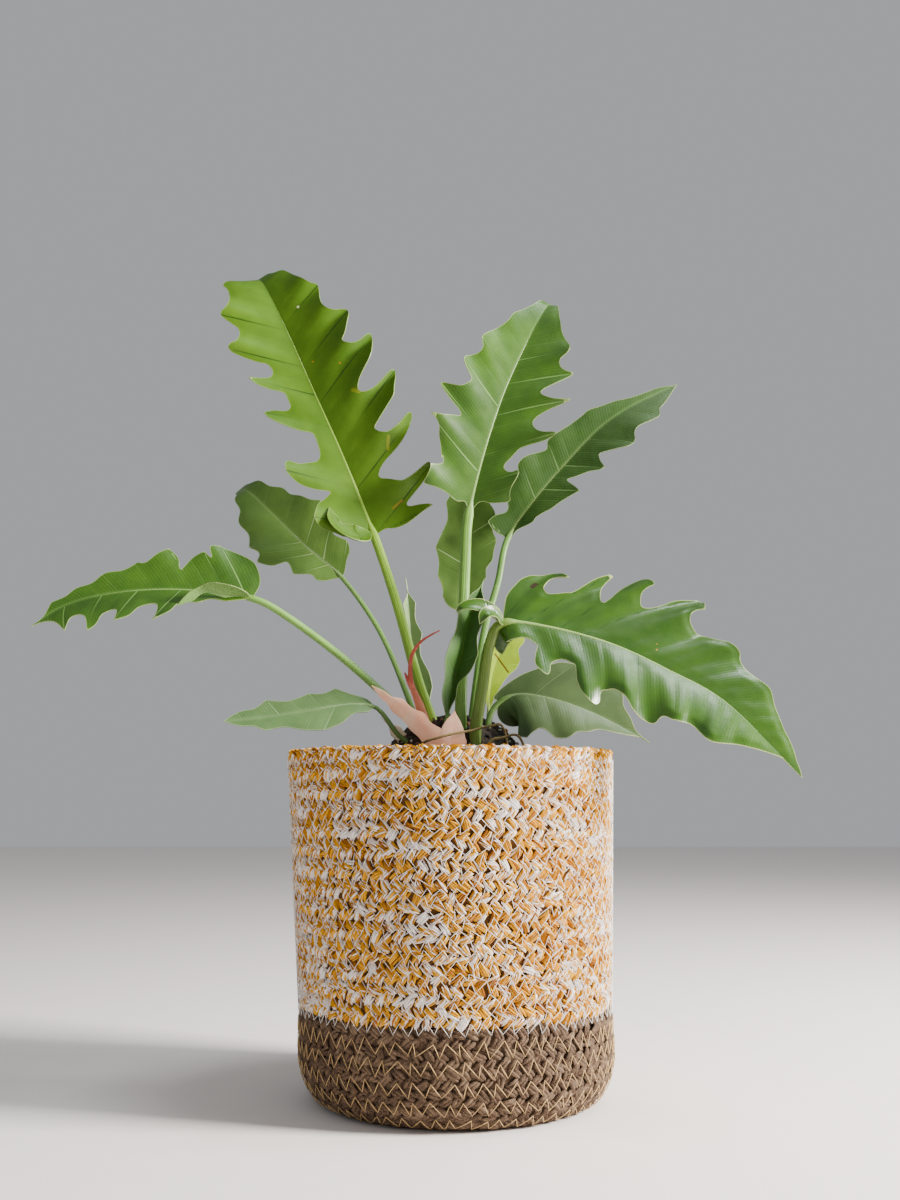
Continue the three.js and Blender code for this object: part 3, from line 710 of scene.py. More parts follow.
def woven_grid(name: str, places: Array, chart: Array,
               numbers: dict[str, Array] | None = None) -> Piece:
    """Lays a grid primitive over a table of points.

    Args:
        name: The piece's name.
        places: Points in metres, as rows, columns and x, y, z.
        chart: The UV of each point, as rows, columns and u, v.
        numbers: Values that the mesh keeps at its points, as rows and columns.

    Returns:
        The piece, whose normals point along columns x rows.
    """
    rows, columns = places.shape[:2]
    deselect()
    bpy.ops.mesh.primitive_grid_add(x_subdivisions=columns - 1, y_subdivisions=rows - 1, size=2)
    piece = bpy.context.object
    piece.name = piece.data.name = name
    mesh = piece.data
    start = get_places(mesh)
    column = np.rint((start[:, 0] + 1) / 2 * (columns - 1)).astype(int)
    row = np.rint((start[:, 1] + 1) / 2 * (rows - 1)).astype(int)
    set_places(mesh, places[row, column])
    set_chart(mesh, chart[row, column])
    for key, values in (numbers or {}).items():
        set_number(mesh, key, values[row, column])
    return piece


def within(points: Array, outline: Array) -> Array:
    """Tells which points lie inside an outline.

    Args:
        points: The points, as rows of two numbers.
        outline: The outline's points in order.

    Returns:
        True for each point that lies inside.
    """
    ahead = np.roll(outline, -1, axis=0)
    crosses = (outline[None, :, 1] > points[:, 1:]) != (ahead[None, :, 1] > points[:, 1:])
    rise = ahead[:, 1] - outline[:, 1]
    rise = np.where(np.abs(rise) < 1e-9, 1e-9, rise)
    meet = outline[:, 0] + (points[:, 1:] - outline[:, 1]) / rise * (ahead[:, 0] - outline[:, 0])
    return (crosses & (points[:, :1] < meet)).sum(axis=1) % 2 == 1


def cut_sheet(name: str, outline: Array, step: float) -> tuple[Piece, Array]:
    """Fills an outline with an even net of triangles.

    Args:
        name: The piece's name.
        outline: The outline's points in order, as rows of two numbers.
        step: The spacing of the net.

    Returns:
        The flat piece and the place of each of its vertices.
    """
    low, high = outline.min(axis=0), outline.max(axis=0)
    rows = np.arange(low[1] + step * 0.8, high[1], step * 0.87)
    across = np.arange(low[0], high[0], step)
    inner = np.array([(x + (k % 2) * step / 2, y) for k, y in enumerate(rows) for x in across])
    ahead = np.roll(outline, -1, axis=0)
    inner = inner[within(inner, outline) & (segment_gap(inner, outline, ahead) > step * 0.55)]
    count = len(outline)
    edges = [(i, (i + 1) % count) for i in range(count)]
    points = [Vector(point) for point in np.concatenate([outline, inner]).tolist()]
    result = delaunay_2d_cdt(points, edges, [], 1, 1e-4, False)
    flat = np.array([tuple(point) for point in result[0]])
    faces = np.array(result[2])
    faces = faces[within(flat[faces].mean(axis=1), outline)]
    mesh = bpy.data.meshes.new(name)
    mesh.from_pydata([(x, y, 0.0) for x, y in flat.tolist()], [], faces.tolist())
    return show(name, mesh), flat


def join(name: str, pieces: list[Piece]) -> Piece:
    """Joins pieces into one that takes a name.

    Args:
        name: The new piece's name.
        pieces: The pieces; the first one's materials come first.

    Returns:
        The joined piece.
    """
    deselect()
    for piece in pieces:
        piece.select_set(True)
    bpy.context.view_layer.objects.active = pieces[0]
    if len(pieces) > 1:
        bpy.ops.object.join()
    joined = bpy.context.view_layer.objects.active
    joined.name = joined.data.name = name
    return joined


def copies(name: str, model: Piece, places: Array, numbers: dict[str, Array] | None = None) -> Piece:
    """Repeats a small model as one mesh.

    Args:
        name: The new piece's name.
        model: What is repeated; it is left as it is.
        places: The vertices of each copy, as copies, vertices and x, y, z.
        numbers: A value for each copy, by name.

    Returns:
        The new piece.
    """
    source = model.data
    count, size = places.shape[:2]
    loops = np.empty(len(source.loops), np.int32)
    source.loops.foreach_get("vertex_index", loops)
    totals = np.empty(len(source.polygons), np.int32)
    source.polygons.foreach_get("loop_total", totals)
    uv = np.empty(len(source.loops) * 2, np.float32)
    source.uv_layers[0].data.foreach_get("uv", uv)
    mesh = bpy.data.meshes.new(name)
    mesh.vertices.add(count * size)
    set_places(mesh, places.reshape(-1, 3))
    mesh.loops.add(count * len(loops))
    every = (loops[None, :] + np.arange(count)[:, None] * size).ravel()
    mesh.loops.foreach_set("vertex_index", every.astype(np.int32))
    mesh.polygons.add(count * len(totals))
    starts = np.concatenate([[0], np.cumsum(np.tile(totals, count))[:-1]])
    mesh.polygons.foreach_set("loop_start", starts.astype(np.int32))
    mesh.update(calc_edges=True)
    layer = mesh.uv_layers.new(name=SURFACE_MAP)
    layer.data.foreach_set("uv", np.tile(uv, count))
    for key, values in (numbers or {}).items():
        set_number(mesh, key, np.repeat(values, size))
    mesh.validate()
    return show(name, mesh)


def discard(piece: Piece) -> None:
    """Removes a model that has been copied."""
    mesh = piece.data
    bpy.data.objects.remove(piece)
    bpy.data.meshes.remove(mesh)


def settle(piece: Piece, slot: Slot, *nodes: str, skin: Material | None = None,
           smooth: float = 0.0) -> Piece:
    """Dresses a built piece, makes it part of the frame and reports it.

    Args:
        piece: The piece.
        slot: The record's slot; it is not used.
        nodes: The solids that it stands for.
        skin: Its material, if it has none yet.
        smooth: The angle in degrees up to which its shading is smooth.

    Returns:
        The piece.
    """
    if skin is not None:
        piece.data.materials.append(skin)
    if smooth:
        activate(piece)
        bpy.ops.object.shade_smooth_by_angle(angle=math.radians(smooth))
    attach(piece, BODY)
    if nodes:
        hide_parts(*nodes)
    LOG.info("%s: %d faces", piece.name, len(piece.data.polygons))
    return piece


# Curves and blades


class Spine:
    """A Catmull-Rom curve through points, walked by its length."""

    DIVISIONS = 400

    def __init__(self, points: Path) -> None:
        """Measures the curve through the points.

        Args:
            points: The points in millimetres, in the plant's own frame.
        """
        self.points = np.array(points, float) + (CROWN_SHIFT, 0, 0)
        self.shares = np.linspace(0, 1, self.DIVISIONS + 1)
        knots = self.at(self.shares)
        steps = np.linalg.norm(np.diff(knots, axis=0), axis=1)
        self.lengths = np.concatenate([[0], np.cumsum(steps)])
        self.total = float(self.lengths[-1])

    def at(self, share: Array) -> Array:
        """Returns the points at shares of the curve's points, from 0 to 1.

        Args:
            share: The shares.

        Returns:
            The points.
        """
        p = self.points
        padded = np.vstack([2 * p[0] - p[1], p, 2 * p[-1] - p[-2]])
        place = np.clip(share, 0, 1) * (len(p) - 1)
        first = np.minimum(np.floor(place), len(p) - 2).astype(int)
        return catmull_rom(padded, first, place - first)

    def share(self, distance: Array) -> Array:
        """Returns the share of the curve at lengths along it."""
        return np.interp(distance, self.lengths, self.shares)

    def direction(self, share: Array) -> Array:
        """Returns the unit tangents at shares of the curve."""
        nudge = 1e-4
        chord = self.at(np.minimum(share + nudge, 1)) - self.at(np.maximum(share - nudge, 0))
        return unit(chord)


def unit(vectors: Array) -> Array:
    """Returns vectors at length one."""
    return vectors / np.linalg.norm(vectors, axis=-1, keepdims=True)


def catmull_rom(padded: Array, first: Array, weight: Array) -> Array:
    """Returns points of a Catmull-Rom curve.

    Args:
        padded: The curve's points with one more at each end.
        first: The stretch that each point is on.
        weight: How far along its stretch each point is, from 0 to 1.

    Returns:
        The points.
    """
    a, b, c, d = (padded[first + i] for i in range(4))
    w = weight[:, None]
    leave, arrive = (c - a) / 2, (d - b) / 2
    return (b + leave * w + (3 * (c - b) - 2 * leave - arrive) * w ** 2
            + (2 * (b - c) + leave + arrive) * w ** 3)


@dataclass(frozen=True)
class Half:
    """One half of a blade.

    Its margin runs from base to tip, first along edge, as distances along the midrib and out
    from it, and then along what is seen, as places in the photograph. Fold lifts the half, in
    degrees, and curl bends it on, in radians per millimetre. Slant is how far the veins run
    forward for each millimetre out.
    """

    edge: Pairs
    seen: Pairs = ()
    fold: float = 0.0
    curl: float = 0.0
    slant: float = 0.6


@dataclass(frozen=True)
class Ear:
    """A small rolled lobe at a blade's base.

    Path is its middle line, width half its width, face where its upper side looks, and curl its
    roll in radians per millimetre.
    """

    path: Path
    width: float
    face: Triple
    curl: float


@dataclass(frozen=True)
class Camera:
    """The camera, which also tells where a place shows in the photograph.

    It stands at place, in millimetres, and looks above the horizon by rise, in radians. Its focal
    length and the middle are in the photograph's pixels.
    """

    place: Triple = (-6.0, -1050.0, 238.0)
    rise: float = 0.169
    focal: float = 1200.0
    middle: tuple[float, float] = (450.0, 600.0)

    def pixels(self, places: Array) -> Array:
        """Returns the photograph's pixels in which places in millimetres show.

        Args:
            places: The places.

        Returns:
            The pixels.
        """
        x, y, z = (places - self.place).T
        depth = y * math.cos(self.rise) + z * math.sin(self.rise)
        above = z * math.cos(self.rise) - y * math.sin(self.rise)
        shown = np.stack([x, -above], axis=1) / depth[:, None]
        return shown * self.focal + self.middle


CAMERA = Camera()


class Sheet:
    """The bent surface that a blade is cut from.

    The net for the photograph's places is GRID_STEP fine and WIDEST wide, and goes on for BEFORE
    and BEYOND the blade. A step along the margin is at most about STRIDE long, held by PULL.
    """

    RIPPLE = 46.0
    REACH = 40.0
    GRID_STEP = 0.5
    WIDEST = 96.0
    BEFORE = 30.0
    BEYOND = 12.0
    STRIDE = 16.0
    PULL = 0.12

    def __init__(self, points: Path, first_point: int, faces: Path, wave: float = 0.0) -> None:
        """Measures the curve from its foot.

        Args:
            points: The curve, whose end is the blade's tip.
            first_point: The number of the point where the blade begins.
            faces: Where the upper side looks, from the blade's base to its tip.
            wave: The height of the margin's ripple.
        """
        self.wave = wave
        self.spine = Spine(points)
        place = first_point / (len(points) - 1) * Spine.DIVISIONS
        self.start = float(np.interp(place, np.arange(Spine.DIVISIONS + 1), self.spine.lengths))
        self.length = self.spine.total - self.start
        self.faces = unit(np.array(faces, float))

    def frames(self, along: Array) -> tuple[Array, ...]:
        """Finds the midrib's frame.

        Args:
            along: Distances from the blade's base in millimetres.

        Returns:
            The places, tangents, upper sides and left sides.
        """
        inside = np.clip(along, -self.start, self.length)
        share = self.spine.share(self.start + inside)
        tangent = self.spine.direction(share)
        origin = self.spine.at(share) + tangent * (along - inside)[:, None]
        spot = np.maximum(inside, 0) / self.length * (len(self.faces) - 1)
        first = np.clip(np.floor(spot), 0, max(len(self.faces) - 2, 0)).astype(int)
        second = np.minimum(first + 1, len(self.faces) - 1)
        weight = (spot - first)[:, None]
        up = unit(self.faces[first] * (1 - weight) + self.faces[second] * weight)
        up = unit(up - tangent * np.sum(up * tangent, axis=1, keepdims=True))
        return origin, tangent, up, np.cross(up, tangent)

    def points(self, along: Array, out: Array, side: Side, half: Half,
               relief: Array | float = 0.0) -> Array:
        """Finds points of the sheet.

        Args:
            along: Distances along the midrib.
            out: Distances out from it.
            side: The side of the midrib.
            half: The half of the blade.
            relief: More height on the upper side.

        Returns:
            The points in millimetres.
        """
        origin, _, up, left = self.frames(along)
        fold = math.radians(half.fold)
        lean = fold + half.curl * np.maximum(out, 0)
        if half.curl:
            across = (np.sin(lean) - math.sin(fold)) / half.curl
            rise = (math.cos(fold) - np.cos(lean)) / half.curl
            across = np.where(out > 0, across, out * math.cos(fold))
            rise = np.where(out > 0, rise, out * math.sin(fold))
        else:
            across, rise = out * math.cos(fold), out * math.sin(fold)
        ripple = np.sin(2 * math.pi * (along - half.slant * out) / self.RIPPLE + side.value)
        rise = rise + self.wave * (np.maximum(out, 0) / self.REACH) ** 2 * ripple
        across = across - relief * np.sin(lean)
        rise = rise + relief * np.cos(lean)
        return origin + left * (side.value * across)[:, None] + up * rise[:, None]

    def net(self, side: Side, half: Half) -> tuple[Array, ...]:
        """Spreads a fine net over one half of the sheet.

        Args:
            side: The side of the midrib.
            half: The half of the blade.

        Returns:
            Its distances along the midrib and out from it, its places in millimetres and where
            they show in the photograph.
        """
        along, out = (grid.ravel() for grid in np.meshgrid(
            np.arange(-self.BEFORE, self.length + self.BEYOND, self.GRID_STEP),
            np.arange(0, self.WIDEST, self.GRID_STEP), indexing="ij"))
        places = self.points(along, out, side, half)
        return along, out, places, CAMERA.pixels(places)

    def draw(self, side: Side, half: Half) -> Half:
        """Turns the part of a margin that was read off the photograph into distances.

        Each place goes to the point of the sheet that shows there, near the one before it.

        Args:
            side: The side of the midrib.
            half: The half of the blade.

        Returns:
            The half with its whole margin as distances.
        """
        if not half.seen:
            return half
        along, out, _, shown = self.net(side, half)
        edge = list(half.edge)
        for pixel in half.seen:
            miss = np.hypot(*(shown - pixel).T)
            if edge:
                stride = np.hypot(along - edge[-1][0], out - edge[-1][1])
                miss = miss + self.PULL * np.maximum(stride - self.STRIDE, 0)
            nearest = int(np.argmin(miss))
            edge.append((float(along[nearest]), float(out[nearest])))
        return replace(half, edge=tuple(edge), seen=())


class Margin:
    """The edge of a half blade, with the points of its lobes."""

    LONG_EDGE = 18.0
    BOW = 0.12
    PROMINENCE = 3.0

    def __init__(self, half: Half, length: float, step: float, soft: float) -> None:
        """Draws the margin of a half blade and the midrib point that each place hangs from.

        Args:
            half: The half of the blade.
            length: The blade's length.
            step: The spacing of the margin's points.
            soft: How far the points of the lobes are rounded off, in millimetres.
        """
        corners = self._bowed([(0.0, 0.0), *half.edge, (length, 0.0)])
        points = [np.array([corners[0]])]
        run = [corners[0]]
        for i in range(1, len(corners)):
            run.append(corners[i])
            if self._is_tip(corners, i):
                points.append(self._walk(np.array(run, float), step))
                run = [corners[i]]
        self.edge = self._rounded(np.concatenate(points), soft / step)
        hinge = np.clip(self.edge[:, 0] - half.slant * self.edge[:, 1], 0, length)
        self.hinge = np.maximum.accumulate(hinge)
        self.tips = self._lobes(self.edge[:, 1])

    @staticmethod
    def _rounded(edge: Array, spread: float) -> Array:
        """Rounds off a margin.

        Args:
            edge: The margin's points.
            spread: How many points to each side take part.

        Returns:
            The rounded points.
        """
        reach = max(1, math.ceil(spread * 2.5))
        weights = np.exp(-0.5 * (np.arange(-reach, reach + 1) / max(spread, 1e-6)) ** 2)
        weights /= weights.sum()
        padded = np.concatenate([2 * edge[0] - edge[reach:0:-1], edge,
                                 2 * edge[-1] - edge[-2:-reach - 2:-1]])
        return np.stack([np.convolve(padded[:, k], weights, "valid") for k in (0, 1)], axis=1)

    def _bowed(self, corners: list[tuple[float, float]]) -> list[tuple[float, float]]:
        """Adds a midpoint to each long edge: full before a lobe's point, hollow after it.

        Args:
            corners: The margin's corners.

        Returns:
            The corners with the midpoints.
        """
        result = [corners[0]]
        for (x0, y0), (x, y) in zip(corners, corners[1:]):
            dx, dy = x - x0, y - y0
            if math.hypot(dx, dy) >= self.LONG_EDGE:
                bow = self.BOW if dy > 0 else -self.BOW
                result.append(((x + x0) / 2 - dy * bow, (y + y0) / 2 + dx * bow))
            result.append((x, y))
        return result

    @staticmethod
    def _is_tip(corners: list[tuple[float, float]], i: int) -> bool:
        """Tells whether a corner is the point of a lobe or the blade's end."""
        return i == len(corners) - 1 or corners[i - 1][1] < corners[i][1] > corners[i + 1][1]

    @staticmethod
    def _walk(run: Array, step: float) -> Array:
        """Returns evenly spaced points on a smooth run through its corners.

        Args:
            run: The corners.
            step: The spacing of the points.

        Returns:
            The points after the first corner.
        """
        padded = np.vstack([run[0], run, run[-1]])
        points = []
        for part in range(len(run) - 1):
            count = max(1, math.ceil(float(np.linalg.norm(run[part + 1] - run[part])) / step))
            weight = np.arange(1, count + 1) / count
            points.append(catmull_rom(padded, np.full(count, part), weight))
        return np.concatenate(points)

    def _lobes(self, out: Array) -> list[int]:
        """Finds the points that stand out clearly between two notches.

        Args:
            out: The margin points' distances from the midrib.

        Returns:
            The numbers of the points.
        """
        tips = []
        best, lowest = 0, 0
        for i, reach in enumerate(out):
            if reach > out[best]:
                best = i
            if out[best] - reach > self.PROMINENCE and out[best] - out[lowest] > self.PROMINENCE:
                tips.append(best)
                best = lowest = i
            elif reach < out[lowest]:
                best = lowest = i
        return tips


def segment_gap(points: Array, starts: Array, ends: Array) -> Array:
    """Measures how far flat points are from the nearest of some segments.

    Args:
        points: The points.
        starts: Where the segments begin.
        ends: Where they end.

    Returns:
        The distances.
    """
    nearest = np.full(len(points), np.inf)
    for start, end in zip(starts, ends):
        chord = end - start
        along = np.clip((points - start) @ chord / max(chord @ chord, 1e-9), 0, 1)
        gap = np.linalg.norm(points - start - along[:, None] * chord, axis=1)
        nearest = np.minimum(nearest, gap)
    return nearest


@dataclass
class Blade:
    """A blade, built as two thin halves that meet under the midrib.

    It swells by quilt between its veins and is nearly that high at pillow from one. Soft is how
    far the points of its lobes are rounded off, and fine_step is the spacing of its vertices.
    """

    sheet: Sheet
    thickness: float = 0.7
    quilt: float = 0.4
    pillow: float = 5.0
    soft: float = 1.6
    fine_step: float = 2.3

    CHART_UNIT = 10.0
    RIM_WIDTH = 6.0
    VEIN_GAP = 16.0

    def half(self, name: str, side: Side, half: Half) -> Piece:
        """Builds one half.

        Args:
            name: The piece's name.
            side: The side of the midrib.
            half: The half's shape.

        Returns:
            The half as a closed thin shell.
        """
        edge = Margin(half, self.sheet.length, self.fine_step, self.soft)
        count = max(2, round(self.sheet.length / self.fine_step))
        rib = np.stack([np.linspace(self.sheet.length, 0, count + 1)[1:-1],
                        np.zeros(count - 1)], axis=1)
        piece, flat = cut_sheet(name, np.concatenate([edge.edge, rib]), self.fine_step)
        roots = np.stack([edge.hinge, np.zeros_like(edge.hinge)], axis=1)
        vein = segment_gap(flat, roots[edge.tips], edge.edge[edge.tips])
        middle = self._between(edge)
        minor = segment_gap(flat, roots[middle], edge.edge[middle])
        margin = segment_gap(flat, edge.edge[:-1], edge.edge[1:])
        every = np.minimum(vein, minor + self.pillow)
        inner = np.clip(flat[:, 1] / 10, 0, 1)
        flatter = np.clip(margin / self.RIM_WIDTH, 0.25, 1)
        swell = (1 - np.exp(-((every / self.pillow) ** 2))) * flatter
        relief = self.quilt * (swell - 0.5) * inner
        places = self.sheet.points(flat[:, 0], flat[:, 1], side, half, relief)
        mesh = piece.data
        set_places(mesh, places * MM)
        chart = np.stack([flat[:, 0] - half.slant * flat[:, 1], flat[:, 1]], axis=1)
        set_chart(mesh, chart / self.CHART_UNIT)
        for key, values in (("vein", vein), ("minor", minor), ("edge", margin)):
            set_number(mesh, key, values)
        if side is Side.RIGHT:
            mesh.flip_normals()
        return piece

    @staticmethod
    def _between(edge: Margin) -> list[int]:
        """Picks the margin points of the smaller veins, between the lobes' own.

        Args:
            edge: The margin.

        Returns:
            The points' numbers.
        """
        tips = [0, *edge.tips, len(edge.hinge) - 1]
        picked = []
        for first, last in zip(tips, tips[1:]):
            span = edge.hinge[last] - edge.hinge[first]
            parts = max(2, round(span / Blade.VEIN_GAP))
            for k in range(1, parts):
                goal = edge.hinge[first] + span * k / parts
                picked.append(int(np.argmin(np.abs(edge.hinge - goal))))
        return picked


def tube(name: str, centres: Array, lefts: Array, ups: Array, radii: Array, rounds: Array,
         rib: Array | None = None) -> Piece:
    """Builds a closed tube with tapered ends.

    Args:
        name: The piece's name.
        centres: The middle of each ring, in millimetres.
        lefts: The first axis of each ring.
        ups: The second axis of each ring.
        radii: The radius of each ring.
        rounds: A cross-section for each ring, as pairs for the two axes at radius one.
        rib: How far each ring is part of the midrib, from 0 to 1.

    Returns:
        The tube.
    """
    sides = rounds.shape[1]
    rings = (centres[:, None, :] + radii[:, None, None]
             * (rounds[..., :1] * lefts[:, None, :] + rounds[..., 1:] * ups[:, None, :]))
    first, last = rings[0].mean(axis=0), rings[-1].mean(axis=0)
    caps = [np.repeat(end[None, :], sides, axis=0)[None] for end in (first, last)]
    rings = np.concatenate([caps[0], rings, caps[1]])
    steps = np.linalg.norm(np.diff(centres, axis=0), axis=1)
    lengths = np.concatenate([[0, 0], np.cumsum(steps)])
    lengths = np.append(lengths, lengths[-1])
    around = np.linspace(0, 1, sides)
    chart = np.stack(np.broadcast_arrays(around[None, :], lengths[:, None] / 100), axis=-1)
    numbers = {}
    if rib is not None:
        ends = np.concatenate([rib[:1], rib, rib[-1:]])
        numbers["rib"] = np.repeat(ends[:, None], sides, axis=1)
    piece = woven_grid(name, rings * MM, chart, numbers)
    merge_doubles(piece)
    return piece


def circle(sides: int) -> Array:
    """Returns the points of a unit circle, the first one again at the end."""
    turn = np.linspace(0, 2 * math.pi, sides + 1)
    return np.stack([np.cos(turn), np.sin(turn)], axis=1)


@dataclass
class Leaf:
    """A whole leaf: a channelled stalk that runs into the midrib, and a lobed blade.

    The stalk goes from the foot in the soil to the blade's tip, and the blade begins at its point of that
    number. Radius is the stalk's at the foot and at the blade, face where the upper side looks from the
    blade's base to its tip, and wave the height of the margin's ripple. Ears are rolled lobes, spots are
    marks of colour such as blemishes, and the last three numbers are the Blade's.
    """

    name: str
    slot: Slot
    finish: LeafFinish
    stalk: Path
    blade: int
    radius: tuple[float, float]
    face: Path
    wave: float
    left: Half
    right: Half
    ears: tuple[Ear, ...] = ()
    spots: tuple[Spot, ...] = ()
    quilt: float = 0.4
    pillow: float = 5.0
    soft: float = 1.6

    STALK_SIDES = 20
    STALK_STEP = 5.0
    INTO_BLADE = 12.0
    BLEND = 15.0
    TIP_RADIUS = 0.45
    RIB_SHARE = 0.52
    RIB_TAPER = 0.6
    GROOVE = 0.16
    GROOVE_WIDTH = 0.42

    def build(self) -> Piece:
        """Builds the leaf, dresses it and puts it in its solid's place.

        Returns:
            The leaf.
        """
        sheet = Sheet(self.stalk, self.blade, self.face, self.wave)
        blade = Blade(sheet, quilt=self.quilt, pillow=self.pillow, soft=self.soft)
        halves = [blade.half(f"{self.name}_half", side, sheet.draw(side, half))
                  for side, half in self._sides()]
        halves += [piece for ear in self.ears for piece in self._ear(ear)]
        skins = [self.finish.upper(f"{self.name}_upper", self._placed_spots(sheet)),
                 self.finish.under(f"{self.name}_under"), self.finish.rim(f"{self.name}_rim"),
                 self.finish.stem(f"{self.name}_stalk")]
        for half in halves:
            for skin in skins[:3]:
                half.data.materials.append(skin)
            apply_modifier(half, "SOLIDIFY", thickness=blade.thickness * MM, offset=0.0,
                           material_offset=1, material_offset_rim=2)
        stem = self._stem(sheet)
        stem.data.materials.append(skins[3])
        piece = join(self.name + "_grown", [*halves, stem])
        return settle(piece, self.slot, self.name, smooth=50)

    def _sides(self) -> tuple[tuple[Side, Half], ...]:
        """Returns both halves with their sides."""
        return (Side.LEFT, self.left), (Side.RIGHT, self.right)

    def _placed_spots(self, sheet: Sheet) -> list[tuple[Spot, list[Vector]]]:
        """Finds where the marks of colour lie on the leaf, in metres.

        Args:
            sheet: The leaf's sheet.

        Returns:
            Each mark with its places.
        """
        if not self.spots:
            return []
        nets = [sheet.net(side, half) for side, half in self._sides()]
        places, shown = (np.concatenate([net[k] for net in nets]) for k in (2, 3))
        return [(spot, [Vector(places[np.argmin(np.hypot(*(shown - pixel).T))] * MM)
                        for pixel in spot.seen]) for spot in self.spots]

    def _ear(self, ear: Ear) -> list[Piece]:
        """Builds the two halves of a rolled lobe.

        Args:
            ear: The lobe.

        Returns:
            The halves.
        """
        sheet = Sheet(ear.path, 0, (ear.face,))
        length = sheet.length
        half = Half(((length * 0.15, ear.width * 0.8), (length * 0.5, ear.width),
                     (length * 0.8, ear.width * 0.6)), curl=ear.curl)
        blade = Blade(sheet, quilt=0.0, fine_step=2.0)
        return [blade.half(f"{self.name}_ear", side, half) for side in Side]

    def _stem(self, sheet: Sheet) -> Piece:
        """Builds the stalk and the midrib as one tapering tube.

        Args:
            sheet: The leaf's sheet.

        Returns:
            The tube.
        """
        count = max(24, round(sheet.spine.total / self.STALK_STEP))
        along = np.linspace(-sheet.start, sheet.length, count)
        centres, _, ups, lefts = sheet.frames(along)
        share = np.clip((along + sheet.start) / (sheet.start + self.INTO_BLADE), 0, 1)
        stalk = self.radius[0] + (self.radius[1] - self.radius[0]) * share
        past = np.clip(along / sheet.length, 0, 1) ** self.RIB_TAPER
        rib = self.radius[1] * self.RIB_SHARE * (1 - past) + self.TIP_RADIUS * past
        into = np.clip(along / self.BLEND, 0, 1)
        into = into * into * (3 - 2 * into)
        radii = stalk * (1 - into) + rib * into
        turn = circle(self.STALK_SIDES)
        hollow = np.exp(-((turn[:, 0] / self.GROOVE_WIDTH) ** 2)) * (turn[:, 1] > 0)
        groove = 1 - self.GROOVE * hollow
        stalk_shape = turn * groove[:, None] * (1.0, 0.94)
        rib_shape = turn * np.where(turn[:, 1:] > 0, (1.0, 0.55), (1.0, 1.7))
        rounds = (stalk_shape[None] * (1 - into)[:, None, None] + rib_shape[None] * into[:, None, None])
        return tube(f"{self.name}_stem", centres, lefts, ups, radii, rounds, into)


@dataclass
class Sheath:
    """A bud sheath: a short thick blade rolled round the foot of a stalk.

    The keel is the line along its back, face where its inside looks, widths are its half widths at
    distances along it, and curl is its roll in radians per millimetre.
    """

    name: str
    slot: Slot
    finish: TissueFinish
    keel: Path
    face: Triple
    widths: Pairs
    curl: float
    thickness: float = 1.0

    def build(self) -> Piece:
        """Builds the sheath, dresses it and puts it in its solid's place.

        Returns:
            The sheath.
        """
        sheet = Sheet(self.keel, 0, (self.face,))
        blade = Blade(sheet, quilt=0.0, fine_step=1.6)
        half = Half(self.widths, curl=self.curl)
        sides = [blade.half(f"{self.name}_half", side, half) for side in Side]
        piece = join(self.name + "_skin", sides)
        merge_doubles(piece)
        apply_modifier(piece, "SMOOTH", factor=0.5, iterations=3)
        apply_modifier(piece, "SOLIDIFY", thickness=self.thickness * MM, offset=0.0)
        apply_modifier(piece, "SUBSURF", levels=1, render_levels=1)
        return settle(piece, self.slot, self.name, skin=self.finish.material(), smooth=60)


@dataclass
class Strand:
    """A plain tapering stem such as the new shoot or an aerial root.

    Its radii are spread evenly along the path, a spur is a short point beside it, and rough is how
    uneven its radius is.
    """

    name: str
    slot: Slot
    finish: TissueFinish
    path: Path
    radii: tuple[float, ...]
    spur: tuple[Path, tuple[float, ...]] | None = None
    rough: float = 0.03

    STEP = 2.5
    SIDES = 14
    SEED = 5

    def build(self) -> Piece:
        """Builds the stem, dresses it and puts it in its solid's place.

        Returns:
            The stem.
        """
        pieces = [self._tube(self.path, self.radii)]
        if self.spur:
            pieces.append(self._tube(*self.spur))
        piece = join(self.name + "_skin", pieces)
        return settle(piece, self.slot, self.name, skin=self.finish.material(), smooth=60)

    def _tube(self, path: Path, radii: tuple[float, ...]) -> Piece:
        """Builds one tapering tube along a path.

        Args:
            path: The path.
            radii: The radii along it.

        Returns:
            The tube.
        """
        spine = Spine(path)
        count = max(12, round(spine.total / self.STEP))
        share = spine.share(np.linspace(0, spine.total, count))
        tangents = spine.direction(share)
        left = unit(np.cross(tangents[0], (0.3, 1.0, 0.1)))
        lefts = []
        for tangent in tangents:
            left = unit(left - tangent * (left @ tangent))
            lefts.append(left)
        lefts = np.array(lefts)
        size = np.interp(np.linspace(0, 1, count), np.linspace(0, 1, len(radii)), radii)
        wobble = np.random.default_rng(self.SEED).normal(0, self.rough, count)
        rounds = np.repeat(circle(self.SIDES)[None], count, axis=0)
        return tube(f"{self.name}_tube", spine.at(share), lefts, np.cross(tangents, lefts),
                    size * (1 + wobble), rounds)


# The basket


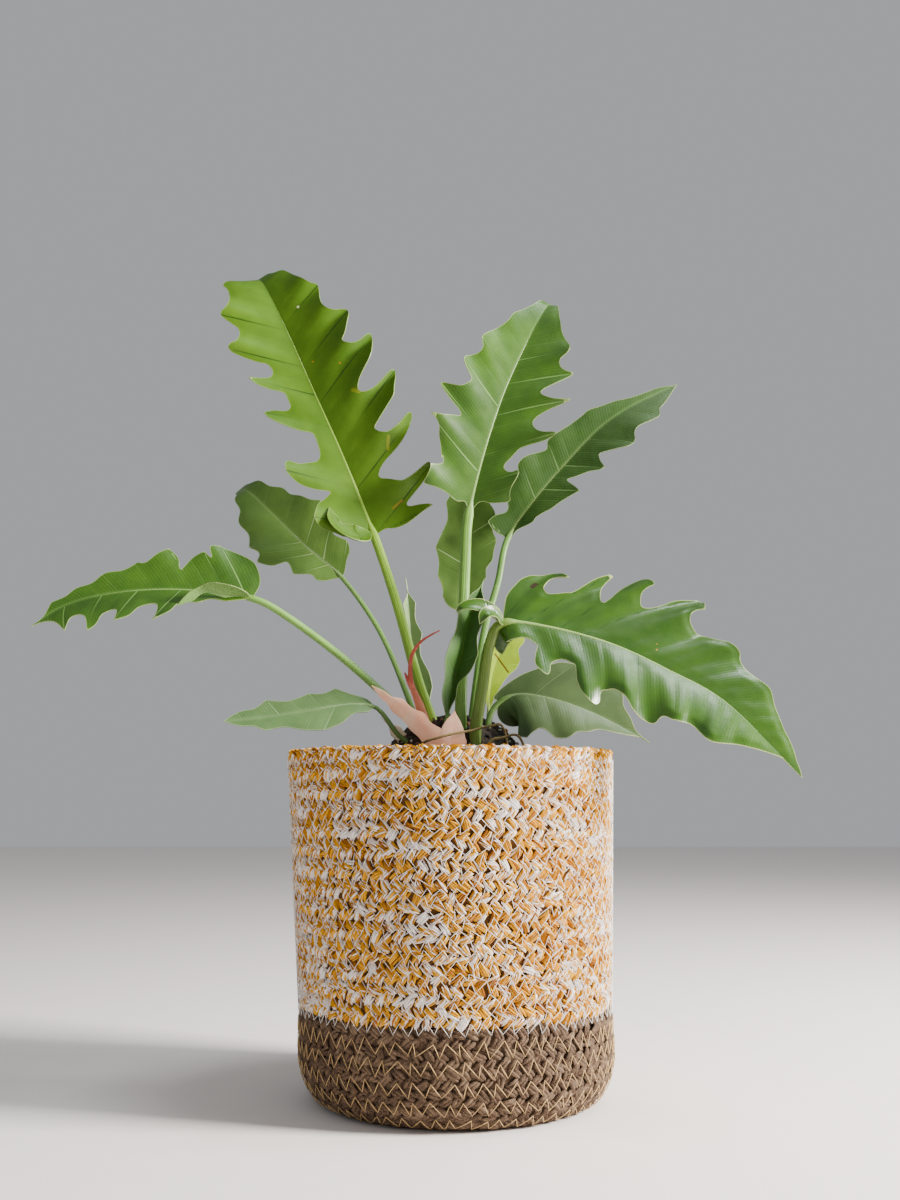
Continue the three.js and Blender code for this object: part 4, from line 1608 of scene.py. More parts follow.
class Wall:
    """The basket's crest line: up the outside, over the rim and down the inside."""

    HEIGHT = 285.0
    JUTE_HEIGHT = 75.0
    RIM = 140.5
    WAIST = 131.0
    BELLY = 131.5
    FOOT = 108.0
    CORNER = 42.0
    THICKNESS = 8.0
    LEAN = 6.0
    INSIDE_DEPTH = 40.0
    INSIDE_SLOPE = 0.045
    FLOOR_GAP = 0.15
    RIM_STEPS = 40

    def __init__(self) -> None:
        """Draws the line as dense points with their lengths."""
        height = np.concatenate([self.CORNER * (1 - np.cos(np.linspace(0, math.pi / 2, 60))),
                                 np.linspace(self.CORNER + 1,
                                             self.HEIGHT - self.THICKNESS / 2, 120)])
        outside = np.stack([self.radius(height), height], axis=1)
        turn = np.linspace(0, math.pi, self.RIM_STEPS)[1:]
        rim = self.THICKNESS / 2
        over = np.stack([self.RIM - rim + rim * np.cos(turn),
                         self.HEIGHT - rim + rim * np.sin(turn)], axis=1)
        drop = np.linspace(0, self.INSIDE_DEPTH, 30)[1:]
        inside = np.stack([over[-1, 0] - drop * self.INSIDE_SLOPE, over[-1, 1] - drop], axis=1)
        self.line = np.concatenate([outside, over, inside])
        steps = np.linalg.norm(np.diff(self.line, axis=0), axis=1)
        self.lengths = np.concatenate([[0], np.cumsum(steps)])
        self.jute_top = float(np.interp(self.JUTE_HEIGHT, height, self.lengths[:len(height)]))
        self.rim_top = float(self.lengths[len(height) + self.RIM_STEPS // 2 - 1])

    def radius(self, height: Array) -> Array:
        """Returns the outer radius over the crests at heights.

        Args:
            height: The heights.

        Returns:
            The radii.
        """
        rise = np.clip(1 - height / self.CORNER, 0, 1)
        corner = self.FOOT + (self.BELLY - self.FOOT) * np.sqrt(1 - rise * rise)
        belly = np.interp(height, [self.CORNER, self.JUTE_HEIGHT], [self.BELLY, self.WAIST])
        upper = np.interp(height, [self.JUTE_HEIGHT, self.HEIGHT], [self.WAIST, self.RIM])
        return np.where(height < self.CORNER, corner, np.where(height < self.JUTE_HEIGHT, belly, upper))

    def places(self, angle: Array, length: Array, lift: Array) -> Array:
        """Finds points on the wall.

        Args:
            angle: The angles round the basket.
            length: The distances along the crest line from the floor.
            lift: The heights above the crest line.

        Returns:
            The points in metres.
        """
        reach = 0.8
        back, here, ahead = (
            np.stack([np.interp(at, self.lengths, self.line[:, k]) for k in (0, 1)], axis=-1)
            for at in (length - reach, length, length + reach))
        slope = unit(ahead - back)
        radius = here[..., 0] + lift * slope[..., 1]
        height = np.maximum(here[..., 1] - lift * slope[..., 0], self.FLOOR_GAP)
        return np.stack([radius * np.cos(angle) - self.LEAN / self.HEIGHT * height,
                         radius * np.sin(angle), height], axis=-1) * MM


@dataclass
class Braid:
    """Rows of flat braid, each with two half rows of slanted strands of a few yarns.

    Strands are counted in a half row, and yarns in a strand. Row is a row's height, slant the
    strands' angle in degrees, and seam the depth of the seam between rows. A yarn's length,
    width and depth are half of the real ones. Yarns BEND inwards at their ends and never stand
    higher than HIGHEST over the crest line.
    """

    wall: Wall
    strands: int
    yarns: int
    row: float
    slant: float = 42.0
    yarn_length: float = 6.8
    yarn_width: float = 1.36
    yarn_depth: float = 1.7
    seam: float = 1.8

    BEND = 1.5
    HIGHEST = 0.2
    SEAM_END = 1.6

    def model(self) -> Piece:
        """Models one yarn of a strand, along Z.

        Returns:
            A short lens of yarn.
        """
        deselect()
        bpy.ops.mesh.primitive_uv_sphere_add(segments=5, ring_count=5, radius=1)
        piece = bpy.context.object
        piece.name = "yarn_model"
        piece.data.uv_layers[0].name = SURFACE_MAP
        places = get_places(piece.data)
        waist = np.hypot(places[:, 0], places[:, 1])
        fuller = np.where(waist > 1e-4, waist ** 0.45 / np.maximum(waist, 1e-4), 0)
        places[:, :2] *= fuller[:, None]
        set_places(piece.data, places)
        return piece

    def build(self, pattern: str, start: float, tints: "list[Tint]", seed: int) -> list[Piece]:
        """Builds rows one above the other.

        Args:
            pattern: The rows' name, with a place for the number.
            start: Where the lowest row begins on the wall's crest line.
            tints: How each row's yarns are coloured.
            seed: The seed of the lowest row; each next row takes the next number.

        Returns:
            The rows.
        """
        model = self.model()
        rows = [self._row(pattern.format(i + 1), model, start + (i + 0.5) * self.row, seed + i, tint)
                for i, tint in enumerate(tints)]
        discard(model)
        return rows

    def _row(self, name: str, model: Piece, centre: float, seed: int, tint: "Tint") -> Piece:
        """Builds one row.

        Args:
            name: The row's name.
            model: The yarn that is repeated.
            centre: The row's place along the wall's crest line.
            seed: The seed of its small differences.
            tint: How its yarns are coloured.

        Returns:
            The row as one piece.
        """
        chance = np.random.default_rng(seed)
        each, whole = (2, self.strands, self.yarns), (2, self.strands, 1)
        half, strand, yarn = np.meshgrid([1, -1], np.arange(self.strands),
                                         np.arange(self.yarns), indexing="ij")
        total = half.size
        turn = (np.radians(self.slant) * -half + chance.normal(0, 0.2, whole)
                + chance.normal(0, 0.14, each))
        pitch = 2 * math.pi / self.strands
        angle = (strand + 0.25 * (half > 0) + seed * 0.37 + chance.normal(0, 0.09, whole)) * pitch
        level = half * self.row * 0.25 + chance.normal(0, 0.9, whole)
        spread = yarn - (self.yarns - 1) / 2
        crown = np.abs(spread) / max((self.yarns - 1) / 2, 1)
        offset = spread * self.yarn_width * 1.5 + chance.normal(0, 0.15, each)
        size = 1 + chance.normal(0, 0.09, each)
        height = (-self.yarn_depth - 0.15 - crown * 0.8 + chance.normal(0, 0.25, whole)
                  + chance.normal(0, 0.2, each))
        tones = tint.tones(angle, chance).ravel()
        shades = chance.random(total) ** 1.5
        turn, angle, level, offset, size, height = (
            values.reshape(total, 1) for values in (turn, angle, level, offset, size, height))
        x, y, z = (get_places(model.data)[None, :, k] for k in range(3))
        along = z * self.yarn_length * np.sqrt(size)
        across = x * self.yarn_width * size + offset
        up = y * self.yarn_depth * size + height - self.BEND * z ** 2
        round_way = along * np.cos(turn) - across * np.sin(turn)
        rise = level + (along * np.sin(turn) + across * np.cos(turn))
        up = up - self.seam * np.minimum((rise / (self.row / 2)) ** 2, self.SEAM_END)
        radius = np.interp(centre, self.wall.lengths, self.wall.line[:, 0])
        places = self.wall.places(angle + round_way / radius, centre + rise,
                                  np.minimum(up, self.HIGHEST))
        return copies(name, model, places, {"tint": tones, "shade": shades})


@dataclass(frozen=True)
class Tint:
    """How the yarns of a row are coloured: the share of strong yarns and how far it swings.

    Phase is where the swing begins. Each of its WAVES has a number of turns round the basket, a
    share of the phase and a strength.
    """

    share: float
    swing: float = 0.2
    phase: float = 0.0

    WAVES = ((5, 1.0, 0.6), (13, 2.3, 0.4))

    def tones(self, angle: Array, chance: np.random.Generator) -> Array:
        """Picks the share of strong plies in each yarn, from 0 to 1.

        Args:
            angle: The strands' angles round the basket, as half rows, strands and yarns.
            chance: The random numbers of the row.

        Returns:
            The shares.
        """
        swing = sum(np.sin(angle * turns + self.phase * shift) * strength
                    for turns, shift, strength in self.WAVES)
        share = self.share + self.swing * swing
        picked = chance.random(angle.shape[:2] + (1,)) * 0.3 + chance.random(angle.shape) * 0.7
        return np.clip(0.5 + (share - picked) * 3.0, 0, 1)


@dataclass
class Stitching:
    """A zigzag of thread over a seam.

    Points counts its turning points round the basket, reach is how far it goes to each side of
    the seam, and thread is the thread's radius.
    """

    wall: Wall
    points: int
    reach: float
    thread: float

    def build(self, name: str, seams: list[float], seed: int) -> Piece:
        """Sews every seam of one thread.

        Args:
            name: The piece's name.
            seams: The seams' places along the crest line.
            seed: The seed of their small differences.

        Returns:
            The thread as one piece.
        """
        chance = np.random.default_rng(seed)
        curve = bpy.data.curves.new(name, "CURVE")
        curve.dimensions = "3D"
        curve.bevel_depth = self.thread * MM
        curve.bevel_resolution = 0
        curve.fill_mode = "FULL"
        for seam in seams:
            spline = curve.splines.new("POLY")
            line = self._zigzag(seam, chance)
            spline.points.add(len(line) - 1)
            full = np.concatenate([line, np.ones((len(line), 1))], axis=1)
            spline.points.foreach_set("co", full.astype(np.float32).ravel())
            spline.use_cyclic_u = True
        activate(show(name, curve))
        bpy.ops.object.convert(target="MESH")
        piece = bpy.context.object
        if not piece.data.uv_layers:
            piece.data.uv_layers.new(name=SURFACE_MAP)
        return piece

    def _zigzag(self, seam: float, chance: np.random.Generator) -> Array:
        """Draws the thread over one seam, dipping where it crosses it.

        Args:
            seam: The seam's place along the crest line.
            chance: The random numbers of the thread.

        Returns:
            The points in metres.
        """
        count = self.points * 3
        step = np.arange(count)
        corner = step // 3
        share = (step % 3) / 3
        jitter = chance.normal(0, 0.3, self.points + 1)
        sign = np.where(np.arange(self.points + 1) % 2, 1, -1)
        reach = self.reach * (1 + chance.normal(0, 0.16, self.points + 1)) * sign
        jitter[-1], reach[-1] = jitter[0], reach[0]
        turn = (corner + jitter[corner] + share * (1 + jitter[corner + 1] - jitter[corner]))
        side = reach[corner] * (1 - share) + reach[corner + 1] * share
        lift = 0.2 - 0.5 * (1 - np.abs(side) / self.reach).clip(0, 1)
        lift = np.where(share == 0, lift - 0.35, lift)
        angle = turn / self.points * 2 * math.pi
        return self.wall.places(angle, seam + side, lift)


@dataclass
class Basket:
    """The basket: a core with rows of braid and stitches over it.

    Wall rows are the yellow and white ones up to the rim, and inner rows those that show inside.
    """

    wall: Wall = field(default_factory=Wall)
    wall_rows: int = 14
    jute_rows: int = 6
    inner_rows: int = 2

    COTTON = YarnFinish("cotton_yarn", (0.92, 0.88, 0.86), (0.80, 0.41, 0.0), (0.30, 0.095, 0.0))
    JUTE = JuteFinish("jute_fibre", (0.185, 0.105, 0.056), (0.46, 0.31, 0.19), (0.028, 0.014, 0.007))
    WHITE_THREAD = PlainFinish("white_thread", srgb(236, 234, 232), srgb(190, 184, 176), 0.7, 2500, 0.1)
    BEIGE_THREAD = PlainFinish("beige_thread", srgb(206, 172, 118), srgb(160, 126, 78), 0.75, 2500, 0.1)
    # The core is dark brown as painted shade: it shows through the gaps between the strands as their
    # shadow.
    CORE_PAINTED_SHADE = PlainFinish("core_painted_shade", (0.12, 0.05, 0.008), (0.05, 0.02, 0.004), 0.95, 600, 0.6)
    CORE_SIDES = 128
    CORE_DEPTH = 5.0
    SHARE_SEED = 3
    COTTON_SEED = 11
    JUTE_SEED = 41

    def build(self) -> None:
        """Builds and dresses the whole basket."""
        self._core()
        self._cotton_rows()
        self._jute_rows()
        self._stitches()

    def _core(self) -> None:
        """Builds the two cores that close the basket behind its braid."""
        wall = self.wall
        levels = np.linspace(wall.JUTE_HEIGHT + 1, wall.HEIGHT - 5, 12)
        outer = [(float(wall.radius(np.array(h))) - self.CORE_DEPTH, float(h)) for h in levels]
        rim = [(wall.RIM - 5.0, wall.HEIGHT - 5.4), (wall.RIM - 5.6, wall.HEIGHT - 5.4)]
        inner = [(wall.RIM - 6.0, wall.HEIGHT - 7), (wall.RIM - 6.6, wall.HEIGHT - 44),
                 (wall.WAIST - wall.THICKNESS, wall.JUTE_HEIGHT + 1)]
        shell = self._turned("basket_wall_core", [*outer, *rim, *inner], closed=True)
        # The wall's core takes the dark brown of painted shade in the gaps between the strands.
        settle(shell, Slot.COTTON, "basket_wall", skin=self.CORE_PAINTED_SHADE.material(), smooth=40)
        heights = [2.0, 6.0, 14.0, 26.0, wall.CORNER, 58.0, wall.JUTE_HEIGHT - 0.4]
        side = [(float(wall.radius(np.array(h))) - self.CORE_DEPTH, h) for h in heights]
        cup = [(wall.WAIST - wall.THICKNESS, wall.JUTE_HEIGHT - 0.4),
               (wall.BELLY - wall.THICKNESS, wall.CORNER), (wall.FOOT - 2, wall.THICKNESS)]
        foot = self._turned("basket_foot_core", [(wall.FOOT, 0.0), *side, *cup], closed=False)
        settle(foot, Slot.JUTE, "basket_foot", skin=self.JUTE.material(), smooth=40)

    def _turned(self, name: str, profile: list[tuple[float, float]], closed: bool) -> Piece:
        """Turns a ring into a shell by extruding and scaling it from point to point.

        Args:
            name: The piece's name.
            profile: Radii and heights in millimetres.
            closed: Whether the last ring joins the first; otherwise both ends are filled.

        Returns:
            The shell, which leans as the basket does.
        """
        deselect()
        radius, height = profile[0]
        rings = [*profile, profile[0]] if closed else profile
        bpy.ops.mesh.primitive_circle_add(
            vertices=self.CORE_SIDES, radius=radius * MM, location=(0, 0, height * MM),
            fill_type="NOTHING" if closed else "NGON")
        bpy.ops.object.mode_set(mode="EDIT")
        bpy.ops.mesh.select_all(action="SELECT")
        if not closed:
            bpy.ops.mesh.region_to_loop()
        for (r0, z0), (r1, z1) in zip(rings, rings[1:]):
            bpy.ops.mesh.extrude_edges_move(TRANSFORM_OT_translate={"value": (0, 0, (z1 - z0) * MM)})
            bpy.ops.transform.resize(value=(r1 / r0, r1 / r0, 1.0), center_override=(0, 0, z1 * MM))
        if not closed:
            bpy.ops.mesh.edge_face_add()
        bpy.ops.object.mode_set(mode="OBJECT")
        piece = bpy.context.object
        piece.name = piece.data.name = name
        bpy.ops.object.transform_apply(location=True, rotation=True, scale=True)
        merge_doubles(piece, outward=True)
        places = get_places(piece.data)
        places[:, 0] -= self.wall.LEAN / self.wall.HEIGHT * places[:, 2]
        set_places(piece.data, places)
        return piece

    def _cotton_rows(self) -> None:
        """Builds the yellow and white rows outside and inside the rim."""
        count = self.wall_rows + self.inner_rows
        row = (self.wall.rim_top - self.wall.jute_top) / self.wall_rows
        braid = Braid(self.wall, strands=94, yarns=4, row=row, slant=46, yarn_length=6.0,
                      yarn_width=1.04, seam=0.9)
        shares = np.random.default_rng(self.SHARE_SEED).uniform(0.60, 0.66, count)
        tints = [Tint(float(share), 0.16, i * 1.7) for i, share in enumerate(shares)]
        skin = self.COTTON.material()
        for piece in braid.build("cotton_row_{:02d}", self.wall.jute_top, tints, self.COTTON_SEED):
            settle(piece, Slot.COTTON, skin=skin, smooth=80)

    def _jute_rows(self) -> None:
        """Builds the jute rows from the floor up."""
        row = self.wall.jute_top / self.jute_rows
        braid = Braid(self.wall, strands=84, yarns=2, row=row, yarn_width=1.8, yarn_depth=1.8, seam=1.2)
        tints = [Tint(0.5, 0.1, i) for i in range(self.jute_rows)]
        skin = self.JUTE.material()
        for piece in braid.build("jute_row_{}", 0.0, tints, self.JUTE_SEED):
            settle(piece, Slot.JUTE, skin=skin, smooth=80)

    def _stitches(self) -> None:
        """Sews the seams."""
        row = (self.wall.rim_top - self.wall.jute_top) / self.wall_rows
        low = self.wall.jute_top / self.jute_rows
        white = [self.wall.jute_top + i * row for i in range(self.wall_rows)]
        between = [seam + row / 2 for seam in white[:-1]]
        beige = [i * low for i in range(1, self.jute_rows)]
        skin = self.WHITE_THREAD.material()
        for name, seams, points, reach, seed in (("white_stitches", white, 156, 4.2, 7),
                                                 ("white_cross_stitches", between, 142, 3.4, 8)):
            thread = Stitching(self.wall, points, reach, thread=0.22)
            settle(thread.build(name, seams, seed), Slot.COTTON, skin=skin)
        coarse = Stitching(self.wall, points=128, reach=5.2, thread=0.3)
        settle(coarse.build("beige_stitches", beige, seed=9), Slot.JUTE,
               skin=self.BEIGE_THREAD.material())


# The pot and the potting mix


@dataclass
class GrowPot:
    """The nursery pot: a tapered tub with a turned-out lip.

    Height and floor are the heights of its top and its underside, bottom and top its radii there
    and under the lip, and lip is how far the lip stands out.
    """

    height: float = 262.0
    floor: float = 8.35
    bottom: float = 90.0
    top: float = 119.0
    wall: float = 1.8
    lip: float = 5.0
    lip_depth: float = 14.0

    FINISH = PlainFinish("black_plastic", (0.012, 0.012, 0.012), (0.03, 0.03, 0.03), 0.5, 900, 0.05)

    def build(self) -> Piece:
        """Builds the pot, dresses it and puts it in its solid's place.

        Returns:
            The pot.
        """
        under_lip = self.height - self.lip_depth
        deselect()
        bpy.ops.mesh.primitive_cone_add(
            vertices=96, radius1=self.bottom * MM, radius2=self.top * MM,
            depth=(under_lip - self.floor) * MM,
            location=(CROWN_SHIFT * MM, 0, (under_lip + self.floor) / 2 * MM))
        piece = bpy.context.object
        piece.name = piece.data.name = "nursery_pot"
        bpy.ops.object.mode_set(mode="EDIT")
        bpy.ops.mesh.select_all(action="DESELECT")
        bpy.ops.object.mode_set(mode="OBJECT")
        for face in piece.data.polygons:
            face.select = face.normal.z > 0.9
        bpy.ops.object.mode_set(mode="EDIT")
        wide = self.top + self.lip
        self._ring(wide / self.top, 0.0)
        self._ring(1.0, self.lip_depth)
        self._ring((wide - self.wall) / wide, 0.0)
        self._ring(1.0, self.wall - self.lip_depth)
        self._ring((self.top - self.wall) / (wide - self.wall), 0.0)
        self._ring((self.bottom - self.wall) / (self.top - self.wall), self.floor - under_lip)
        bpy.ops.object.mode_set(mode="OBJECT")
        bpy.ops.object.transform_apply(location=True, rotation=True, scale=True)
        apply_modifier(piece, "BEVEL", width=0.5 * MM, segments=2, limit_method="ANGLE",
                       angle_limit=math.radians(35))
        return settle(piece, Slot.PLASTIC, "grow_pot", skin=self.FINISH.material(), smooth=40)

    @staticmethod
    def _ring(scale: float, rise: float) -> None:
        """Extrudes the selected face, scales it about the pot's axis and lifts it."""
        bpy.ops.mesh.extrude_region_move(TRANSFORM_OT_translate={"value": (0, 0, rise * MM)})
        bpy.ops.transform.resize(value=(scale, scale, 1.0), center_override=(CROWN_SHIFT * MM, 0, 0))


@dataclass
class PottingMix:
    """The mix that fills the pot, heaped behind the stems, with loose crumbs on top.

    Level is the height of its flat part, edge its radius and heap the middle of the heap, whose
    profile gives heights at distances from there.
    """

    level: float = 270.0
    edge: float = 116.6
    heap: tuple[float, float] = (4.0, 40.0)
    profile: Pairs = ((0, 317.5), (20, 315.5), (34, 311.5), (46, 303.5), (56, 292.5),
                      (66, 280.5), (76, 267.5), (90, 255))

    FINISH = SoilFinish("potting_mix", (0.010, 0.008, 0.006), (0.045, 0.028, 0.017), (0.35, 0.30, 0.24))
    CRUMB = SoilFinish("mix_crumbs", (0.012, 0.009, 0.007), (0.07, 0.04, 0.022), (0.4, 0.35, 0.3))
    PERLITE = PlainFinish("perlite", srgb(226, 222, 214), srgb(170, 164, 150), 0.9, 1500, 0.4)
    BARK = PlainFinish("bark", srgb(96, 62, 38), srgb(140, 104, 72), 0.9, 700, 0.6)

    def height(self, x: Array, y: Array) -> Array:
        """Returns the height of the surface at places in the plant's frame.

        Args:
            x: How far each place is to the right.
            y: How far back it is.

        Returns:
            The heights.
        """
        away = np.hypot(x - self.heap[0], y - self.heap[1])
        reach, rise = zip(*self.profile)
        heap = np.interp(away, reach, rise)
        middle = np.hypot(x, y)
        flat = self.level - np.clip((middle - (self.edge - 14)) / 14, 0, 1) * 5
        return np.maximum(heap, flat)

    def build(self) -> None:
        """Builds the mix and its crumbs, dresses them and puts them in the solid's place."""
        settle(self._surface(), Slot.SOIL, "soil", skin=self.FINISH.material(), smooth=70)
        for name, finish, count, sizes, seed in (
                ("soil_crumbs", self.CRUMB, 1500, (0.8, 2.9), 21),
                ("perlite_grains", self.PERLITE, 150, (0.7, 2.0), 22),
                ("bark_chips", self.BARK, 130, (1.5, 4.0), 23)):
            settle(self._scatter(name, count, sizes, seed), Slot.SOIL, skin=finish.material())

    def _surface(self) -> Piece:
        """Builds the body of the mix as one closed piece.

        Returns:
            The mix.
        """
        rings, sides, seed = 44, 120, 31
        turn = np.linspace(0, 2 * math.pi, sides + 1)
        reach = np.concatenate([[0], np.linspace(0.02, 1, rings)]) * self.edge
        x = reach[:, None] * np.cos(turn)[None, :]
        y = reach[:, None] * np.sin(turn)[None, :]
        chance = np.random.default_rng(seed)
        rough = chance.normal(0, 0.9, x.shape)
        rough[:, -1] = rough[:, 0]
        rough[0] = rough[0, 0]
        top = self.height(x, y) + rough * (reach < self.edge - 1)[:, None] - 0.6
        upper = np.stack([x, y, top], axis=-1)
        fall = np.array([248.0, 10.6, 10.6])
        width = np.array([116.6, 87.6, 0.0])
        lower = np.stack([width[:, None] * np.cos(turn), width[:, None] * np.sin(turn),
                          np.repeat(fall[:, None], sides + 1, axis=1)], axis=-1)
        table = np.concatenate([upper, lower])
        table[..., 0] += CROWN_SHIFT
        table = table[:, ::-1]
        chart = np.stack([table[..., 0], table[..., 1]], axis=-1) / 100
        piece = woven_grid("potting_mix", table * MM, chart)
        merge_doubles(piece, outward=True)
        return piece

    def _scatter(self, name: str, count: int, sizes: tuple[float, float], seed: int) -> Piece:
        """Scatters one kind of crumb over the surface.

        Args:
            name: The piece's name.
            count: The number of crumbs.
            sizes: The smallest and largest radius.
            seed: The seed of their places.

        Returns:
            The crumbs as one piece.
        """
        deselect()
        bpy.ops.mesh.primitive_ico_sphere_add(subdivisions=1, radius=1)
        model = bpy.context.object
        chance = np.random.default_rng(seed)
        base = get_places(model.data)
        reach = np.sqrt(chance.random(count)) * (self.edge - 3)
        turn = chance.random(count) * 2 * math.pi
        x, y = reach * np.cos(turn), reach * np.sin(turn)
        size = chance.uniform(sizes[0] ** 0.5, sizes[1] ** 0.5, count) ** 2
        shape = chance.uniform(0.55, 1.25, (count, 1, 3)) * chance.uniform(
            0.8, 1.2, (count, len(base), 1))
        yaw = chance.random(count) * 2 * math.pi
        local = base[None] * shape * size[:, None, None]
        cos, sin = np.cos(yaw)[:, None], np.sin(yaw)[:, None]
        spun = np.stack([local[..., 0] * cos - local[..., 1] * sin,
                         local[..., 0] * sin + local[..., 1] * cos, local[..., 2] * 0.75], -1)
        centre = np.stack([x + CROWN_SHIFT, y, self.height(x, y) - 0.4 + size * 0.2], axis=-1)
        piece = copies(name, model, (centre[:, None, :] + spun) * MM)
        discard(model)
        return piece


# The leaves' shapes and finishes


GREEN = LeafFinish(deep=(0.018, 0.056, 0.003), fresh=(0.05, 0.128, 0.005), vein=(0.16, 0.3, 0.07),
    margin=(0.5, 0.58, 0.24), back=(0.13, 0.24, 0.06), stalk=(0.15, 0.31, 0.045), rib=(0.2, 0.34, 0.08),
    painted_edge_highlight=0.35, veined=0.65)
GLOSSY = LeafFinish(deep=(0.018, 0.062, 0.001), fresh=(0.046, 0.125, 0.003), vein=(0.012, 0.045, 0.002),
    margin=(0.56, 0.62, 0.26), back=(0.13, 0.24, 0.06), stalk=(0.17, 0.27, 0.03), rib=(0.26, 0.4, 0.11),
    gloss=0.34, veined=0.5, shine=0.52, painted_edge_highlight=0.5)
# Its dark midrib is partly its own greenish-brown and partly painted shade of the sunken channel along
# it.
SHADY = LeafFinish(deep=(0.01, 0.036, 0.001), fresh=(0.024, 0.066, 0.002), vein=(0.16, 0.28, 0.08),
    margin=(0.46, 0.54, 0.24), back=(0.13, 0.24, 0.06), stalk=(0.13, 0.28, 0.045), rib=(0.1, 0.14, 0.03),
    gloss=0.46, painted_edge_highlight=0.3)
# A darker green: painted shade for the young folded leaf, which lies in shade; its near-black midrib is a
# painted shadow along the fold.
PAINTED_SHADE_GREEN = LeafFinish(deep=(0.011, 0.049, 0.003), fresh=(0.032, 0.092, 0.006), vein=(0.1, 0.22, 0.03),
    margin=(0.46, 0.56, 0.24), back=(0.1, 0.22, 0.03), stalk=(0.12, 0.26, 0.04), rib=(0.02, 0.07, 0.008),
    gloss=0.46, veined=0.2, painted_edge_highlight=0.25, shine=0.4)
BRIGHT = LeafFinish(deep=(0.044, 0.105, 0.005), fresh=(0.084, 0.175, 0.008), vein=(0.014, 0.042, 0.004),
    margin=(0.5, 0.58, 0.2), back=(0.15, 0.26, 0.05), stalk=(0.18, 0.33, 0.02), rib=(0.22, 0.38, 0.03),
    gloss=0.46, veined=0.85, shine=0.15, painted_edge_highlight=0.22)
COOL = LeafFinish(deep=(0.04, 0.09, 0.01), fresh=(0.085, 0.165, 0.022), vein=(0.22, 0.32, 0.12),
    margin=(0.46, 0.54, 0.26), back=(0.15, 0.24, 0.09), stalk=(0.13, 0.26, 0.05), rib=(0.1, 0.13, 0.04),
    gloss=0.46, painted_edge_highlight=0.3, veined=0.75)
SATIN = LeafFinish(deep=(0.042, 0.072, 0.024), fresh=(0.085, 0.13, 0.046), vein=(0.15, 0.22, 0.09),
    margin=(0.5, 0.56, 0.3), back=(0.28, 0.38, 0.2), stalk=(0.1, 0.2, 0.03), rib=(0.17, 0.25, 0.11),
    gloss=0.36, painted_edge_highlight=0.5, veined=0.35)
PALE = LeafFinish(deep=(0.056, 0.116, 0.034), fresh=(0.11, 0.195, 0.062), vein=(0.24, 0.36, 0.16),
    margin=(0.44, 0.52, 0.29), back=(0.18, 0.29, 0.11), stalk=(0.14, 0.27, 0.06), rib=(0.28, 0.42, 0.18),
    gloss=0.44, painted_edge_highlight=0.4)
# A lime green, partly the leaf's own colour and partly painted light that shines through it from behind.
LIME = LeafFinish(deep=(0.24, 0.38, 0.01), fresh=(0.42, 0.56, 0.025), vein=(0.48, 0.62, 0.1),
    margin=(0.6, 0.68, 0.26), back=(0.32, 0.46, 0.06), stalk=(0.2, 0.34, 0.06), rib=(0.44, 0.58, 0.08))
# A lighter copy of the pale green: painted light for the narrow leaf at the back, which the lamps leave
# in shade.
PALE_WITH_PAINTED_LIGHT = LeafFinish(deep=(0.17, 0.28, 0.09), fresh=(0.3, 0.44, 0.16), vein=(0.4, 0.54, 0.28),
    margin=(0.52, 0.6, 0.36), back=(0.3, 0.42, 0.18), stalk=(0.16, 0.3, 0.06), rib=(0.3, 0.44, 0.18))

BROWN_SPOT = srgb(92, 50, 22)
DARK_SPOT = srgb(52, 22, 10)
ORANGE_SPOT = srgb(214, 136, 36)
PALE_SPOT = srgb(206, 214, 160)
YELLOW_SPOT = srgb(190, 176, 40)

TALL_SPOTS = (
    Spot(((298, 307),), 1.7, PALE_SPOT),
    Spot(((313, 362),), 1.3, ORANGE_SPOT, 0.6),
    Spot(((340, 363),), 1.4, ORANGE_SPOT, 0.4),
    Spot(((388, 436), (388, 449)), 2.0, YELLOW_SPOT, 0.2),
    Spot(((353, 390), (359, 391)), 2.6, YELLOW_SPOT, 0.2),
    Spot(((393, 508), (402, 501)), 1.6, ORANGE_SPOT, 0.18),
)
FRONT_SPOTS = (
    Spot(((532, 586), (535, 584)), 3.0, DARK_SPOT, 0.9),
    Spot(((657, 645),), 1.4, ORANGE_SPOT, 0.9),
    Spot(((657, 650),), 1.3, ORANGE_SPOT, 0.9),
)
# A thin dark brown streak across the small leaf at the back.
BACK_SPOTS = (Spot(((495, 654), (508, 672)), 1.1, BROWN_SPOT, 0.9),)


# Margins that the photograph shows in full, from base to tip, as read off it in its pixels

TALL_LEFT_LEFT = ((330.5, 492), (316.5, 489.5), (303, 485.5), (293, 478.5), (286, 470.5), (285, 463),
    (289, 461), (308.5, 462.5), (316.5, 461.5), (320, 456.5), (319, 449.5), (316, 440), (312.5, 433),
    (300, 430.5), (283.5, 425), (269.5, 418), (263.5, 412), (272.5, 410.5), (285, 411), (289.5, 409.5),
    (290.5, 405.5), (287.5, 398.5), (283.5, 392.5), (269.5, 389), (256, 383.5), (248.5, 377),
    (261.5, 378), (269.5, 377.5), (272.5, 374.5), (272.5, 370), (267, 364.5), (256, 362), (242, 357),
    (231, 351.5), (227.5, 346), (230.5, 342.5), (236.5, 340), (239.5, 335), (238, 328.5), (231, 323),
    (222, 316.5), (220.5, 312.5), (222, 310), (226, 306), (229, 300.5), (229, 294), (227, 289),
    (224, 286.5), (223, 284), (234, 280.5), (247.5, 278.5), (253, 278))
